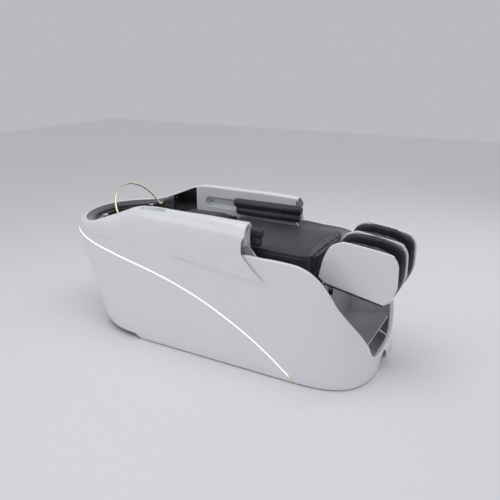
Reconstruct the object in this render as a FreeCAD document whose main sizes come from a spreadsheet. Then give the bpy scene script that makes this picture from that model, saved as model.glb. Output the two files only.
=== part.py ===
"""Lie-flat head-spa backwash bed.

X runs along the bed (head at -X, feet at +X), Y across it (the client's right is -Y), Z up.
The origin is on the floor, under the middle of the bed.  Lengths are millimetres.
"""
import FreeCAD, Part
import math
import os
import re
import Sketcher
from FreeCAD import Rotation, Vector

doc = FreeCAD.newDocument("BackwashBed")
sheet = doc.addObject("Spreadsheet::Sheet", "Sizes")

SIZES = [
    ("body_width", 810, "overall width across the side shells"),
    ("head_reach", 988, "origin to the head end"),
    ("nose_reach", 912, "origin to the nose of the side shells"),
    ("rim_height", 757, "floor to the top of the armrest crest"),
    ("floor_gap", 6, "height of the levelling feet"),
    ("shell_wall", 5, "thickness of the moulded shells"),
    ("armrest_width", 125, "crest of the armrest to the widest line of the body"),
    ("seat_drop", 142, "armrest crest down to the seat top"),
    ("cushion_gap", 43, "armrest crest to the side of the seat cushion"),
    ("cockpit_end", 414, "origin back to the end of the basin surround"),
    ("seat_start", 80, "origin back to the rear of the seat cushion"),
    ("seat_front", 575, "origin to the front of the seat cushion"),
    ("seat_thick", 138, "thickness of the seat cushion"),
    ("back_thick", 135, "thickness of the back cushion"),
    ("board_thick", 15, "thickness of the plywood boards"),
    ("calf_hinge_x", 600, "origin to the calf-rest hinge"),
    ("calf_length", 376, "rear corner of the calf rest to its foot end"),
    ("calf_half", 220, "half width of the calf rest at the hinge end"),
    ("calf_taper", 30, "how much narrower each side is at the foot end"),
    ("panel_thick", 15, "thickness of the calf-rest side panels"),
    ("channel_wall", 34, "padding between a calf channel and its panel"),
    ("ledge_drop", 169, "armrest crest down to the basin ledge"),
    ("bowl_depth", 165, "basin ledge down to the bottom of the bowl"),
    ("bowl_side_margin", 102, "armrest crest to the mouth of the bowl"),
    ("ring_tube", 11, "diameter of the water ring's tube"),
    ("ring_margin", 82, "armrest crest to the water ring's pivot"),
    ("ring_x", 646, "origin back to the water ring's pivots"),
    ("ring_lift", 38, "water ring's pivots above the basin ledge"),
    ("ring_lean", 33, "degrees that the ring leans towards the head end"),
    ("rail_tube", 40, "section of the square floor rails"),
    ("seat_tube", 30, "section of the square seat rails and uprights"),
    ("slot_height", 64, "height of the arm pad's recess"),
    ("slot_depth", 26, "depth of the arm pad's recess"),
    ("pad_length", 440, "length of an arm massage pad"),
    ("pad_roll", 54, "diameter of an arm pad's upper roll"),
    ("button_size", 13, "diameter of a push button"),
    ("pin_size", 10, "diameter of the hinge pins"),
    ("fit", 0.05, "radial clearance of a pin in its bore"),
    ("gap", 0.4, "gap between neighbouring pieces"),
]
for line_number, (alias, value, note) in enumerate(SIZES, start=1):
    sheet.set(f"A{line_number}", note)
    sheet.set(f"B{line_number}", str(value))
    sheet.setAlias(f"B{line_number}", alias)
doc.recompute()
ALIASES = [entry[0] for entry in SIZES]
ALIAS_PATTERN = re.compile(r"\b(" + "|".join(ALIASES) + r")\b")


def size(alias):
    """Value of a cell of the sheet."""
    return float(getattr(sheet, alias))


def bound(text):
    """Expression with every alias turned into a reference to the sheet."""
    return ALIAS_PATTERN.sub(r"Sizes.\1", f"({text})")


def value_of(text):
    """Number that an expression of aliases gives for the present sizes."""
    names = {alias: size(alias) for alias in ALIASES}
    tree = ALIAS_PATTERN.sub(lambda match: repr(names[match.group(1)]), f"({text})")
    return float(FreeCAD.Units.Quantity(tree).Value)


# Expressions that several pieces share.
CREST_HALF = "(body_width / 2 - armrest_width)"
CUSHION_HALF = "(body_width / 2 - armrest_width - cushion_gap)"
BACK_HALF = "(body_width / 2 - armrest_width - cushion_gap - 37)"
SEAT_TOP = "(rim_height - seat_drop)"
SEAT_BASE = "(rim_height - seat_drop - seat_thick)"
FRAME_TOP = "(rim_height - seat_drop - seat_thick - board_thick)"
BACK_BASE = "(rim_height - seat_drop - 115)"
LEDGE = "(rim_height - ledge_drop)"
RAIL_Y = "(body_width / 2 - armrest_width - 80)"
CALF_HINGE_Z = "(rim_height - seat_drop - 115)"
RECLINE_X = "(seat_start + 15)"
RECLINE_Z = "(rim_height - seat_drop - 13)"
BOWL_HALF = "(body_width / 2 - armrest_width - bowl_side_margin)"
BOWL_HEAD = "(head_reach - 103)"
BOWL_FOOT = "(cockpit_end + 91)"
RING_RADIUS = "(body_width / 2 - armrest_width - ring_margin)"
RING_Z = "(rim_height - ledge_drop + ring_lift)"
DECK_TOP = "(rim_height - seat_drop - 121)"
SLOT_Z = "(rim_height - seat_drop + 50)"

crest_half = value_of(CREST_HALF)
wall = size("shell_wall")
gap = size("gap")

parts = []


def keep(obj, label):
    """Name a finished sub-part and put it on the list of files to write."""
    obj.Label = label
    parts.append(obj)
    return obj


# ---------------------------------------------------------------- sketched pieces

def origin_plane(body, role):
    return next(item for item in body.Origin.OriginFeatures if item.Role == role)


def polygon_sketch(body, role, corners, start):
    """Closed polygon whose corners are tied to the sheet, lifted by start off its plane."""
    sketch = body.newObject("Sketcher::SketchObject", "Outline")
    sketch.AttachmentSupport = [(origin_plane(body, role), "")]
    sketch.MapMode = "FlatFace"
    sketch.setExpression("AttachmentOffset.Base.z", bound(start))
    points = [Vector(value_of(u), value_of(v), 0) for u, v in corners]
    count = len(points)
    for index in range(count):
        sketch.addGeometry(Part.LineSegment(points[index], points[(index + 1) % count]), False)
    for index in range(count):
        sketch.addConstraint(Sketcher.Constraint("Coincident", index, 2, (index + 1) % count, 1))
    for index, (u, v) in enumerate(corners):
        for kind, text, number in (("DistanceX", u, points[index].x), ("DistanceY", v, points[index].y)):
            place = sketch.addConstraint(Sketcher.Constraint(kind, -1, 1, index, 1, number))
            sketch.setExpression(f"Constraints[{place}]", bound(text))
    return sketch


def circle_sketch(body, role, centre, radius, start):
    """Circle tied to the sheet, lifted by start off its plane."""
    sketch = body.newObject("Sketcher::SketchObject", "Circle")
    sketch.AttachmentSupport = [(origin_plane(body, role), "")]
    sketch.MapMode = "FlatFace"
    sketch.setExpression("AttachmentOffset.Base.z", bound(start))
    middle = Vector(value_of(centre[0]), value_of(centre[1]), 0)
    sketch.addGeometry(Part.Circle(middle, Vector(0, 0, 1), value_of(radius)), False)
    for kind, text, number in (("DistanceX", centre[0], middle.x), ("DistanceY", centre[1], middle.y)):
        place = sketch.addConstraint(Sketcher.Constraint(kind, -1, 1, 0, 3, number))
        sketch.setExpression(f"Constraints[{place}]", bound(text))
    place = sketch.addConstraint(Sketcher.Constraint("Radius", 0, value_of(radius)))
    sketch.setExpression(f"Constraints[{place}]", bound(radius))
    return sketch


def new_body(name):
    return doc.addObject("PartDesign::Body", name)


def pad(body, sketch, length):
    feature = body.newObject("PartDesign::Pad", "Pad")
    feature.Profile = sketch
    feature.setExpression("Length", bound(length))
    body.Tip = feature
    return feature


def pocket(body, sketch, length):
    """Cut a sketch along its plane's own normal."""
    before = body.Tip
    doc.recompute()
    feature = body.newObject("PartDesign::Pocket", "Pocket")
    feature.Profile = sketch
    feature.Reversed = True
    feature.setExpression("Length", bound(length))
    body.Tip = feature
    doc.recompute()
    if feature.Shape.Volume > before.Shape.Volume - 1:
        raise ValueError(f"{body.Name}: a pocket removed nothing")
    return feature


def fillet(body, radius, chosen=None):
    """Round the edges of the body's tip that the test picks, or all of them."""
    doc.recompute()
    base = body.Tip
    names = [
        f"Edge{index}"
        for index, edge in enumerate(base.Shape.Edges, start=1)
        if chosen is None or chosen(edge)
    ]
    feature = body.newObject("PartDesign::Fillet", "Round")
    feature.Base = (base, names)
    feature.setExpression("Radius", bound(radius))
    body.Tip = feature
    return feature


def upright(edge):
    """Is the edge straight and parallel to Z?"""
    first, last = edge.Vertexes[0].Point, edge.Vertexes[-1].Point
    return abs(first.x - last.x) < 0.01 and abs(first.y - last.y) < 0.01


def crosswise(edge):
    """Is the edge straight and parallel to Y?"""
    first, last = edge.Vertexes[0].Point, edge.Vertexes[-1].Point
    return abs(first.x - last.x) < 0.01 and abs(first.z - last.z) < 0.01


def block_body(name, x_range, y_range, z_range):
    """Rectangular block from a sketch on the floor plane."""
    body = new_body(name)
    (x0, x1), (y0, y1), (z0, z1) = x_range, y_range, z_range
    sketch = polygon_sketch(body, "XY_Plane", [(x0, y0), (x1, y0), (x1, y1), (x0, y1)], z0)
    pad(body, sketch, f"({z1}) - ({z0})")
    return body


def profile_body(name, corners, y_range):
    """Side outline in XZ, padded across the bed from y_range[0] to y_range[1]."""
    body = new_body(name)
    sketch = polygon_sketch(body, "XZ_Plane", corners, f"-({y_range[1]})")
    pad(body, sketch, f"({y_range[1]}) - ({y_range[0]})")
    return body


# ---------------------------------------------------------------- primitive pieces

AXIS_TURN = {
    "x": Rotation(Vector(0, 1, 0), 90),
    "y": Rotation(Vector(1, 0, 0), -90),
    "z": Rotation(),
}


def cylinder(name, radius, length, base, axis="z"):
    """Cylinder from its base point along +X, +Y or +Z."""
    obj = doc.addObject("Part::Cylinder", name)
    obj.setExpression("Radius", bound(radius))
    obj.setExpression("Height", bound(length))
    obj.Placement = FreeCAD.Placement(Vector(), AXIS_TURN[axis])
    for letter, text in zip("xyz", base):
        obj.setExpression(f"Placement.Base.{letter}", bound(text))
    return obj


def box(name, x_range, y_range, z_range):
    """Box between three pairs of expressions."""
    obj = doc.addObject("Part::Box", name)
    for side, letter, (low, high) in zip(("Length", "Width", "Height"), "xyz",
                                         (x_range, y_range, z_range)):
        obj.setExpression(side, bound(f"({high}) - ({low})"))
        obj.setExpression(f"Placement.Base.{letter}", bound(low))
    return obj


def fuse(name, shapes):
    obj = doc.addObject("Part::MultiFuse", name)
    obj.Shapes = shapes
    obj.Refine = True
    return obj


def cut(name, base, tool):
    obj = doc.addObject("Part::Cut", name)
    obj.Base = base
    obj.Tool = tool
    return obj


def group(name, shapes):
    """Separate solids that share one node."""
    obj = doc.addObject("Part::Compound", name)
    obj.Links = shapes
    return obj


def mirrored(name, source):
    """Copy of a left-hand piece on the right-hand side."""
    obj = doc.addObject("Part::Mirroring", name)
    obj.Source = source
    obj.Normal = Vector(0, 1, 0)
    return obj


def feature(name, shape):
    """Piece whose shape is computed from the sheet's values."""
    obj = doc.addObject("Part::Feature", name)
    obj.Shape = shape
    obj.Placement = FreeCAD.Placement()
    return obj


# ---------------------------------------------------------------- form of the body

DRAWN_RIM = 757.0
DRAWN_HEAD = 988.0
DRAWN_NOSE = 912.0
DRAWN_COCKPIT = -414.0
FOOT_START = 300.0

# Each level of the body: height, how far its side stands inside the widest line, and how
# far its head end stands inside the furthest point.
LEVELS = [
    (0, 5, 237), (55, 0, 190), (130, 2, 158), (230, 8, 128), (350, 17, 71),
    (430, 24, 24), (500, 33, 3), (560, 40, 0), (620, 45, 6),
]
# Side outlines, x and height.
CREST_LINE = [
    (-972, 621), (-860, 618), (-790, 620), (-740, 627), (-680, 644), (-600, 674), (-500, 715),
    (-420, 745), (-360, 756), (-200, 757), (0, 757), (150, 754), (290, 744), (420, 730),
]
CREASE_LINE = [
    (-990, 572), (-900, 572), (-750, 568), (-600, 566), (-400, 560), (-200, 545), (0, 525),
    (200, 508), (420, 496),
]
LIGHT_LINE = [
    (-990, 560), (-900, 556), (-760, 528), (-666, 508), (-497, 470), (-258, 420), (-102, 378),
    (44, 328), (185, 266), (323, 196), (455, 112), (561, 30),
]
SHOULDER_LINE = [
    (300, 610), (400, 606), (500, 603), (560, 598), (620, 580), (670, 550), (710, 512),
    (740, 474), (772, 424), (808, 378), (861, 296), (893, 209), (905, 130), (912, 92),
]
WING_END = [(276, 790), (278, 743), (283, 705), (270, 677), (273, 620), (302, 583), (400, 494),
            (440, 455)]
HEAD_CURVE = 420.0
HEAD_POWER = 2.6
FOOT_CURVE = 420.0
FOOT_POWER = 3.5
CREST_CURVE = 267.0
CREST_SETBACK = 26.0
CREST_FLARE = 32.0
FLARE_RUN = 127.0


def stretch_x(x):
    """Move a drawn station to where the present sizes put it."""
    if x < DRAWN_COCKPIT:
        share = (x - DRAWN_COCKPIT) / (-DRAWN_HEAD - DRAWN_COCKPIT)
        return -size("cockpit_end") - share * (size("head_reach") - size("cockpit_end"))
    if x > FOOT_START:
        share = (x - FOOT_START) / (DRAWN_NOSE - FOOT_START)
        return FOOT_START + share * (size("nose_reach") - FOOT_START)
    return x


def stretch_z(height):
    return height * size("rim_height") / DRAWN_RIM


def stretched(line):
    return [(stretch_x(x), stretch_z(height)) for x, height in line]


def crest_stretched():
    """The crest keeps its drop below the rim, whatever the rim's height."""
    return [(stretch_x(x), size("rim_height") - DRAWN_RIM + height) for x, height in CREST_LINE]


def smooth(line, x):
    """Smooth curve through the points of a line, without overshoot."""
    if x <= line[0][0]:
        return line[0][1]
    if x >= line[-1][0]:
        return line[-1][1]
    spans = [(b[1] - a[1]) / (b[0] - a[0]) for a, b in zip(line, line[1:])]
    slopes = [spans[0]]
    for before, after in zip(spans, spans[1:]):
        slopes.append(2 * before * after / (before + after) if before * after > 0 else 0.0)
    slopes.append(spans[-1])
    index = max(i for i in range(len(line) - 1) if line[i][0] <= x)
    (x0, y0), (x1, y1) = line[index], line[index + 1]
    step = x1 - x0
    t = (x - x0) / step
    return ((1 + 2 * t) * (1 - t) ** 2 * y0 + t * (1 - t) ** 2 * step * slopes[index]
            + t * t * (3 - 2 * t) * y1 - t * t * (1 - t) * step * slopes[index + 1])


def half_plan(head, foot, half, head_curve, foot_curve, powers):
    """Half of a plan curve, from the head end's middle round +Y to the foot end's middle."""
    points = []
    steps = 12
    for index in range(steps + 1):
        angle = math.pi / 2 * index / steps
        points.append((head + head_curve * (1 - math.cos(angle) ** (2 / powers[0])),
                       half * math.sin(angle) ** (2 / powers[0])))
    for index in (1, 2):
        share = index / 3
        points.append(((head + head_curve) * (1 - share) + (foot - foot_curve) * share, half))
    for index in range(steps, -1, -1):
        angle = math.pi / 2 * index / steps
        points.append((foot - foot_curve * (1 - math.cos(angle) ** (2 / powers[1])),
                       half * math.sin(angle) ** (2 / powers[1])))
    return points


def body_plan(height, offset):
    """Half plan of the body at a height, moved outwards by an offset."""
    inset_line = [(stretch_z(z), side) for z, side, head in LEVELS]
    head_line = [(stretch_z(z), head) for z, side, head in LEVELS]
    half = size("body_width") / 2 - smooth(inset_line, height) + offset
    head = -size("head_reach") + smooth(head_line, height) - offset
    foot = size("nose_reach") + offset
    return half_plan(head, foot, half, HEAD_CURVE + offset, FOOT_CURVE + offset,
                     (HEAD_POWER, FOOT_POWER))


def curve_edge(points):
    curve = Part.BSplineCurve()
    curve.interpolate(points)
    return curve.toShape()


def plan_wire(plan, height):
    points = [Vector(x, y, height) for x, y in plan]
    return Part.Wire([curve_edge(points), Part.LineSegment(points[-1], points[0]).toShape()])


body_cache = {}


def body_solid(offset):
    """Left half of the body, moved outwards by an offset."""
    if offset not in body_cache:
        heights = [max(stretch_z(z), size("floor_gap")) for z, side, head in LEVELS]
        wires = [plan_wire(body_plan(height, offset), height) for height in heights]
        body_cache[offset] = outward(Part.makeLoft(wires, True, False))
    return body_cache[offset]


def outward(solid):
    """The same solid with its faces turned outwards."""
    if solid.Volume < 0:
        solid.reverse()
    return solid


def side_prism(corners, low=0.0, high=700.0):
    """Straight-sided outline in XZ, extruded from y = low to y = high."""
    points = [Vector(x, low, z) for x, z in corners]
    face = Part.Face(Part.makePolygon(points + points[:1]))
    return outward(face.extrude(Vector(0, high - low, 0)))


def curved_prism(line, corners, low=0.0, high=700.0):
    """Outline in XZ made of a smooth line and then straight corners, extruded across."""
    points = [Vector(x, low, z) for x, z in line]
    rest = [points[-1]] + [Vector(x, low, z) for x, z in corners] + [points[0]]
    edges = [curve_edge(points)]
    edges += [Part.LineSegment(a, b).toShape() for a, b in zip(rest, rest[1:])]
    return outward(Part.Face(Part.Wire(edges)).extrude(Vector(0, high - low, 0)))


# ---------------------------------------------------------------- side shells

SHELL_FLANGE = 22.0
SHELL_STATIONS = 48
LIGHT_WIDTH = 7.0
LIGHT_PROUD = 2.1
LIGHT_SEAT = 0.8
ARCH_RADIUS = 72.0
HEAD_LIFT = 30.0
HEAD_TURN = 0.35
FOOT_TURN = 0.65


def body_point(share, height, offset=0.0):
    """Point of the body's side: share 0 is the head end's middle, 1 the foot end's middle."""
    half = size("body_width") / 2 - smooth([(stretch_z(z), side) for z, side, end in LEVELS], height) + offset
    head = -size("head_reach") + smooth([(stretch_z(z), end) for z, side, end in LEVELS], height) - offset
    foot = size("nose_reach") + offset
    if share < HEAD_TURN:
        angle = math.pi / 2 * share / HEAD_TURN
        reach = HEAD_CURVE + offset
        return Vector(head + reach * (1 - math.cos(angle) ** (2 / HEAD_POWER)),
                      half * math.sin(angle) ** (2 / HEAD_POWER), height)
    if share > FOOT_TURN:
        angle = math.pi / 2 * (1 - share) / (1 - FOOT_TURN)
        reach = FOOT_CURVE + offset
        return Vector(foot - reach * (1 - math.cos(angle) ** (2 / FOOT_POWER)),
                      half * math.sin(angle) ** (2 / FOOT_POWER), height)
    along = (share - HEAD_TURN) / (FOOT_TURN - HEAD_TURN)
    return Vector((head + HEAD_CURVE + offset) * (1 - along) + (foot - FOOT_CURVE - offset) * along,
                  half, height)


def on_line(share, line, start):
    """Height at which the body's side at a share meets a line given in XZ."""
    height = start
    for attempt in range(40):
        height = 0.5 * height + 0.5 * smooth(line, body_point(share, height).x)
    return height


def shell_top_line():
    """Upper edge of the side shell: the crease, then up under the wing to the shoulder."""
    crease = [(x, z - 1.0) for x, z in stretched(CREASE_LINE) if x <= 100]
    return crease + stretched(SHOULDER_LINE)


def inward_step(share, height):
    """Unit vector from the body's surface towards its inside, level with the floor."""
    step = body_point(share, height, -1.0) - body_point(share, height)
    return step.normalize()


def shell_section(share):
    """Closed section of the side shell: skin, turned-in flange, and back down 5 mm inside."""
    top = on_line(share, shell_top_line(), 300.0)
    base = size("floor_gap")
    rows = 9
    heights = [base + (top - base) * (index / (rows - 1)) for index in range(rows)]
    outer = [body_point(share, height) for height in heights]
    inner = [body_point(share, min(height, top - wall), -wall) for height in heights]
    inward = inward_step(share, top)
    lip = outer[-1] + inward * SHELL_FLANGE
    under = lip - Vector(0, 0, wall)
    inner.reverse()
    corners = [outer[-1], lip, under, inner[0]]
    edges = [curve_edge(outer)]
    edges += [Part.LineSegment(a, b).toShape() for a, b in zip(corners, corners[1:])]
    edges += [curve_edge(inner), Part.LineSegment(inner[-1], outer[0]).toShape()]
    return Part.Wire(edges)


def stations(count, start=0.0, end=1.0):
    return [start + (end - start) * index / count for index in range(count + 1)]


def side_shell():
    """Left side shell with its raised head-end edge and the arch notch at the nose."""
    whole = outward(Part.makeLoft([shell_section(share) for share in stations(SHELL_STATIONS)], True, True))
    head_lift = side_prism([(-2000, -10), (-2000, HEAD_LIFT), (-430, HEAD_LIFT), (-415, -10)], -5.0)
    arch = Part.makeCylinder(ARCH_RADIUS, 200, Vector(size("nose_reach") - 100, 0, 0), Vector(1, 0, 0))
    return whole.cut(head_lift).cut(arch)


def light_section(share):
    """Three-cornered section of the light strip, its flat side on the shell's outer face."""
    line = stretched(LIGHT_LINE)
    middle = on_line(share, line, 300.0)
    half = LIGHT_WIDTH / 2
    corners = [body_point(share, middle - half, LIGHT_SEAT), body_point(share, middle, LIGHT_PROUD),
               body_point(share, middle + half, LIGHT_SEAT)]
    return Part.makePolygon(corners + corners[:1])


def light_end_share():
    """Share of the body's side at which the light line ends."""
    low, high = HEAD_TURN, 0.9
    target = stretch_x(LIGHT_LINE[-1][0])
    for attempt in range(40):
        middle = (low + high) / 2
        if body_point(middle, on_line(middle, stretched(LIGHT_LINE), 30.0)).x < target:
            low = middle
        else:
            high = middle
    return low


def light_strip():
    shares = stations(40, 0.0, light_end_share() - 0.006)
    return outward(Part.makeLoft([light_section(share) for share in shares], True, True))


def light_cap():
    """Small block that closes the foot end of a light strip."""
    share = light_end_share()
    middle = body_point(share, on_line(share, stretched(LIGHT_LINE), 30.0))
    cap = Part.makeBox(13, 5, 11, Vector(middle.x - 5.5, middle.y - 0.2, middle.z - 5.5))
    cap.rotate(middle, Vector(0, 1, 0), 38)
    return cap


# ---------------------------------------------------------------- armrest covers

WING_STATIONS = 30
WING_OVERHANG = 19.0


def crest_half_at(x):
    """Half width between the crests: wider round the bowl than along the cockpit."""
    start = -size("head_reach") + CREST_SETBACK + CREST_CURVE
    share = min(1.0, max(0.0, (x - start) / FLARE_RUN))
    return crest_half + CREST_FLARE * (1 - share * share * (3 - 2 * share))


def crest_point(share):
    """Inner edge of the crest, from the head end's middle to past the wing's end."""
    head = -size("head_reach") + CREST_SETBACK
    side, turn = 0.32, 0.4
    bend = head + CREST_CURVE
    if share < side:
        angle = math.pi / 2 * share / side
        x = head + CREST_CURVE * (1 - math.cos(angle))
        y = crest_half_at(bend) * math.sin(angle)
    elif share < turn:
        x = bend + FLARE_RUN * (share - side) / (turn - side)
        y = crest_half_at(x)
    else:
        along = (share - turn) / (1 - turn)
        x = (bend + FLARE_RUN) * (1 - along) + 330 * along
        y = crest_half
    return Vector(x, y, smooth(crest_stretched(), x))


def wing_foot_point(share):
    """Lower edge of the wing, on the body's surface or standing proud of it."""
    turn = 0.4
    crease = stretched(CREASE_LINE)
    height = smooth(crease, crest_point(share).x)
    half = size("body_width") / 2 - smooth([(stretch_z(z), s) for z, s, h in LEVELS], height)
    head = -size("head_reach") + smooth([(stretch_z(z), h) for z, s, h in LEVELS], height)
    proud = WING_OVERHANG * max(0.0, (share - turn) / (1 - turn)) ** 0.8
    if share < turn:
        angle = math.pi / 2 * share / turn
        x = head + HEAD_CURVE * (1 - math.cos(angle) ** (2 / HEAD_POWER))
        y = half * math.sin(angle) ** (2 / HEAD_POWER)
    else:
        along = (share - turn) / (1 - turn)
        x = (head + HEAD_CURVE) * (1 - along) + 430 * along
        y = half + proud
    return Vector(x, y, smooth(crease, x))


def wing_section(share):
    """Closed section of the cover: outer curve over the crest, and back 4.5 mm inside it."""
    thick = wall - 0.5
    top = crest_point(share)
    foot = wing_foot_point(share)
    out = Vector(foot.x - top.x, foot.y - top.y, 0)
    reach = out.Length
    out.normalize()
    drop = top.z - foot.z
    roll = min(6.0, drop * 0.15, reach * 0.08)
    shape = [(0, drop), (0.13 * reach, drop + roll * 0.8), (0.3 * reach, drop + roll),
             (0.55 * reach, drop * 0.955), (0.8 * reach, drop * 0.79), (0.94 * reach, drop * 0.5),
             (0.99 * reach, drop * 0.2), (reach, 0)]
    outer = []
    inner = []
    for index, (h, v) in enumerate(shape):
        before = shape[max(index - 1, 0)]
        after = shape[min(index + 1, len(shape) - 1)]
        run = math.hypot(after[0] - before[0], after[1] - before[1])
        normal = ((before[1] - after[1]) / run, (after[0] - before[0]) / run)
        outer.append(Vector(foot.x, foot.y, foot.z) - out * (reach - h) + Vector(0, 0, v))
        inner_h = max(h - normal[0] * thick, 0.0)
        inner_v = max(v - normal[1] * thick, 0.0)
        inner.append(Vector(foot.x, foot.y, foot.z) - out * (reach - inner_h) + Vector(0, 0, inner_v))
    inner.reverse()
    edges = [curve_edge(outer), Part.LineSegment(outer[-1], inner[0]).toShape(),
             curve_edge(inner), Part.LineSegment(inner[-1], outer[0]).toShape()]
    return Part.Wire(edges)


def wing_cover():
    """Left armrest cover, ending in its swept edge."""
    sections = [wing_section(index / WING_STATIONS) for index in range(WING_STATIONS + 1)]
    whole = outward(Part.makeLoft(sections, True, True))
    end = stretched(WING_END)
    end[0] = (end[0][0], size("rim_height") + 60)
    beyond = curved_prism(end, [(700, end[-1][1]), (700, end[0][1])])
    return whole.cut(beyond)


left_shell = keep(feature("LeftShell", side_shell()), "left_side_shell")
keep(mirrored("RightShell", left_shell), "right_side_shell")
left_light = keep(feature("LeftLight", light_strip()), "left_light_strip")
keep(mirrored("RightLight", left_light), "right_light_strip")
left_cap = feature("LeftCap", light_cap())
keep(group("LightCaps", [left_cap, mirrored("RightCap", left_cap)]), "light_end_caps")
left_wing = keep(feature("LeftWing", wing_cover()), "left_armrest_cover")
right_wing = mirrored("RightWing", left_wing)

# ---------------------------------------------------------------- control panel

PANEL_X = (-372, -212)
PANEL_Y = f"-({CREST_HALF} + 31)"
PANEL_TOP = "(rim_height + 6.5)"

window = box("PanelWindow", (f"{PANEL_X[0]} - gap", f"{PANEL_X[1]} + gap"),
             (f"{PANEL_Y} - 14 - gap", f"{PANEL_Y} + 14 + gap"), (f"{PANEL_TOP} - 30", f"{PANEL_TOP} + 30"))
keep(cut("RightWingCut", right_wing, window), "right_armrest_cover")

BUTTONS = (("pump_button", -356), ("light_button", -334), ("warmth_button", -312), ("massage_button", -290))
plate = box("PanelPlate", (f"{PANEL_X[0]}", f"{PANEL_X[1]}"), (f"{PANEL_Y} - 14", f"{PANEL_Y} + 14"),
            (f"{PANEL_TOP} - 16", f"{PANEL_TOP} - 1"))
holes = [cylinder(f"ButtonHole{index}", "button_size / 2 + 0.3", "13", (f"{x}", PANEL_Y, f"{PANEL_TOP} - 12"))
         for index, (label, x) in enumerate(BUTTONS)]
glass_seat = box("GlassSeat", ("-272", "-220"), (f"{PANEL_Y} - 9", f"{PANEL_Y} + 9"),
                 (f"{PANEL_TOP} - 3", f"{PANEL_TOP} + 1"))
keep(cut("ControlPanel", plate, fuse("PanelCuts", holes + [glass_seat])), "control_panel")
keep(block_body("display_glass", ("-271.8", "-220.2"), (f"{PANEL_Y} - 8.8", f"{PANEL_Y} + 8.8"),
                (f"{PANEL_TOP} - 3", f"{PANEL_TOP} - 0.6")), "display_window")
for label, x in BUTTONS:
    key = new_body(label)
    pad(key, circle_sketch(key, "XY_Plane", (f"{x}", PANEL_Y), "button_size / 2", f"{PANEL_TOP} - 8"), "8.6")
    fillet(key, "0.8", lambda edge: edge.BoundBox.ZMin > value_of(PANEL_TOP) - 4
           and edge.BoundBox.ZLength < 0.1)
    keep(key, label)

# ---------------------------------------------------------------- inner panels and arm pads

PANEL_IN = f"({CREST_HALF} - 9)"
PANEL_OUT = f"({CREST_HALF} - 1)"
SLOT_START = -350
SLOT_END = 345


def inner_panel():
    """White liner between the cushions and the crest, with the arm pad's recess behind it."""
    low, high = value_of(PANEL_IN), value_of(PANEL_OUT)
    base = value_of(DECK_TOP) + gap
    top = [(x, z - 2) for x, z in crest_stretched() if x > -size("cockpit_end") + 2 and x < 280]
    top = [(-size("cockpit_end"), smooth(crest_stretched(), -size("cockpit_end")) - 2)] + top
    front = [(268, top[-1][1] - 1), (266, stretch_z(677)), (268, stretch_z(620)),
             (300, stretch_z(583)), (378, base)]
    plate_solid = curved_prism(top, front + [(-size("cockpit_end"), base)], low, high)
    middle = value_of(SLOT_Z)
    half = size("slot_height") / 2
    depth = size("slot_depth")

    def slot(inset, from_y, to_y):
        radius = half - inset
        end = Part.makeCylinder(radius, to_y - from_y, Vector(SLOT_START + half, from_y, middle),
                                Vector(0, 1, 0))
        run = Part.makeBox(SLOT_END - SLOT_START, to_y - from_y, 2 * radius,
                           Vector(SLOT_START + half, from_y, middle - radius))
        return end.fuse(run)

    beyond = side_prism([(252, 0), (252, 900), (700, 900), (700, 0)])
    housing = slot(-3, high - 1, high + depth + 3).cut(beyond)
    hollow = slot(0, low - 1, high + depth).cut(side_prism([(249, 0), (249, 900), (700, 900), (700, 0)]))
    return plate_solid.fuse(housing).cut(hollow)


left_panel = keep(feature("LeftPanel", inner_panel()), "left_inner_panel")
keep(mirrored("RightPanel", left_panel), "right_inner_panel")

RAIL_DEPTH = f"({PANEL_OUT} + slot_depth - 9)"
left_rail = cylinder("LeftSlideRail", "4", f"249 - ({SLOT_START} + slot_height / 2)",
                     (f"{SLOT_START} + slot_height / 2", RAIL_DEPTH, SLOT_Z), "x")
slide_ends = [box(f"SlideEnd{index}", (f"{x}", f"{x} + 6"),
                  (f"{RAIL_DEPTH} - 7", f"{PANEL_OUT} + slot_depth"),
                  (f"{SLOT_Z} - 7", f"{SLOT_Z} + 7")) for index, x in enumerate((SLOT_START + 30, 243))]
left_slide = fuse("LeftSlide", [left_rail] + slide_ends)
keep(group("SlideRails", [left_slide, mirrored("RightSlide", left_slide)]), "pad_slide_rails")

ARM_START = -100
PAD_Y = f"({PANEL_IN} - 2 - pad_roll / 2)"
ROLL_Z = f"({SEAT_TOP} + 78)"
LOWER_Z = f"({SEAT_TOP} + 30)"
carriage = box("CarriageBlock", ("-40", "140"), (f"{RAIL_DEPTH} - 8", f"{RAIL_DEPTH} + 7.5"),
               (f"{SLOT_Z} - 12", f"{SLOT_Z} + 12"))
carriage_neck = box("CarriageNeck", ("-20", "120"), (f"{PAD_Y} + 6", f"{RAIL_DEPTH} - 8"),
                    (f"{SLOT_Z} - 9", f"{SLOT_Z} + 9"))
carriage_bore = cylinder("CarriageBore", "4 + fit", "200", ("-50", RAIL_DEPTH, SLOT_Z), "x")
left_carriage = keep(cut("LeftCarriage", fuse("CarriageSolid", [carriage, carriage_neck]), carriage_bore),
                     "left_pad_carriage")
keep(mirrored("RightCarriage", left_carriage), "right_pad_carriage")


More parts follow.
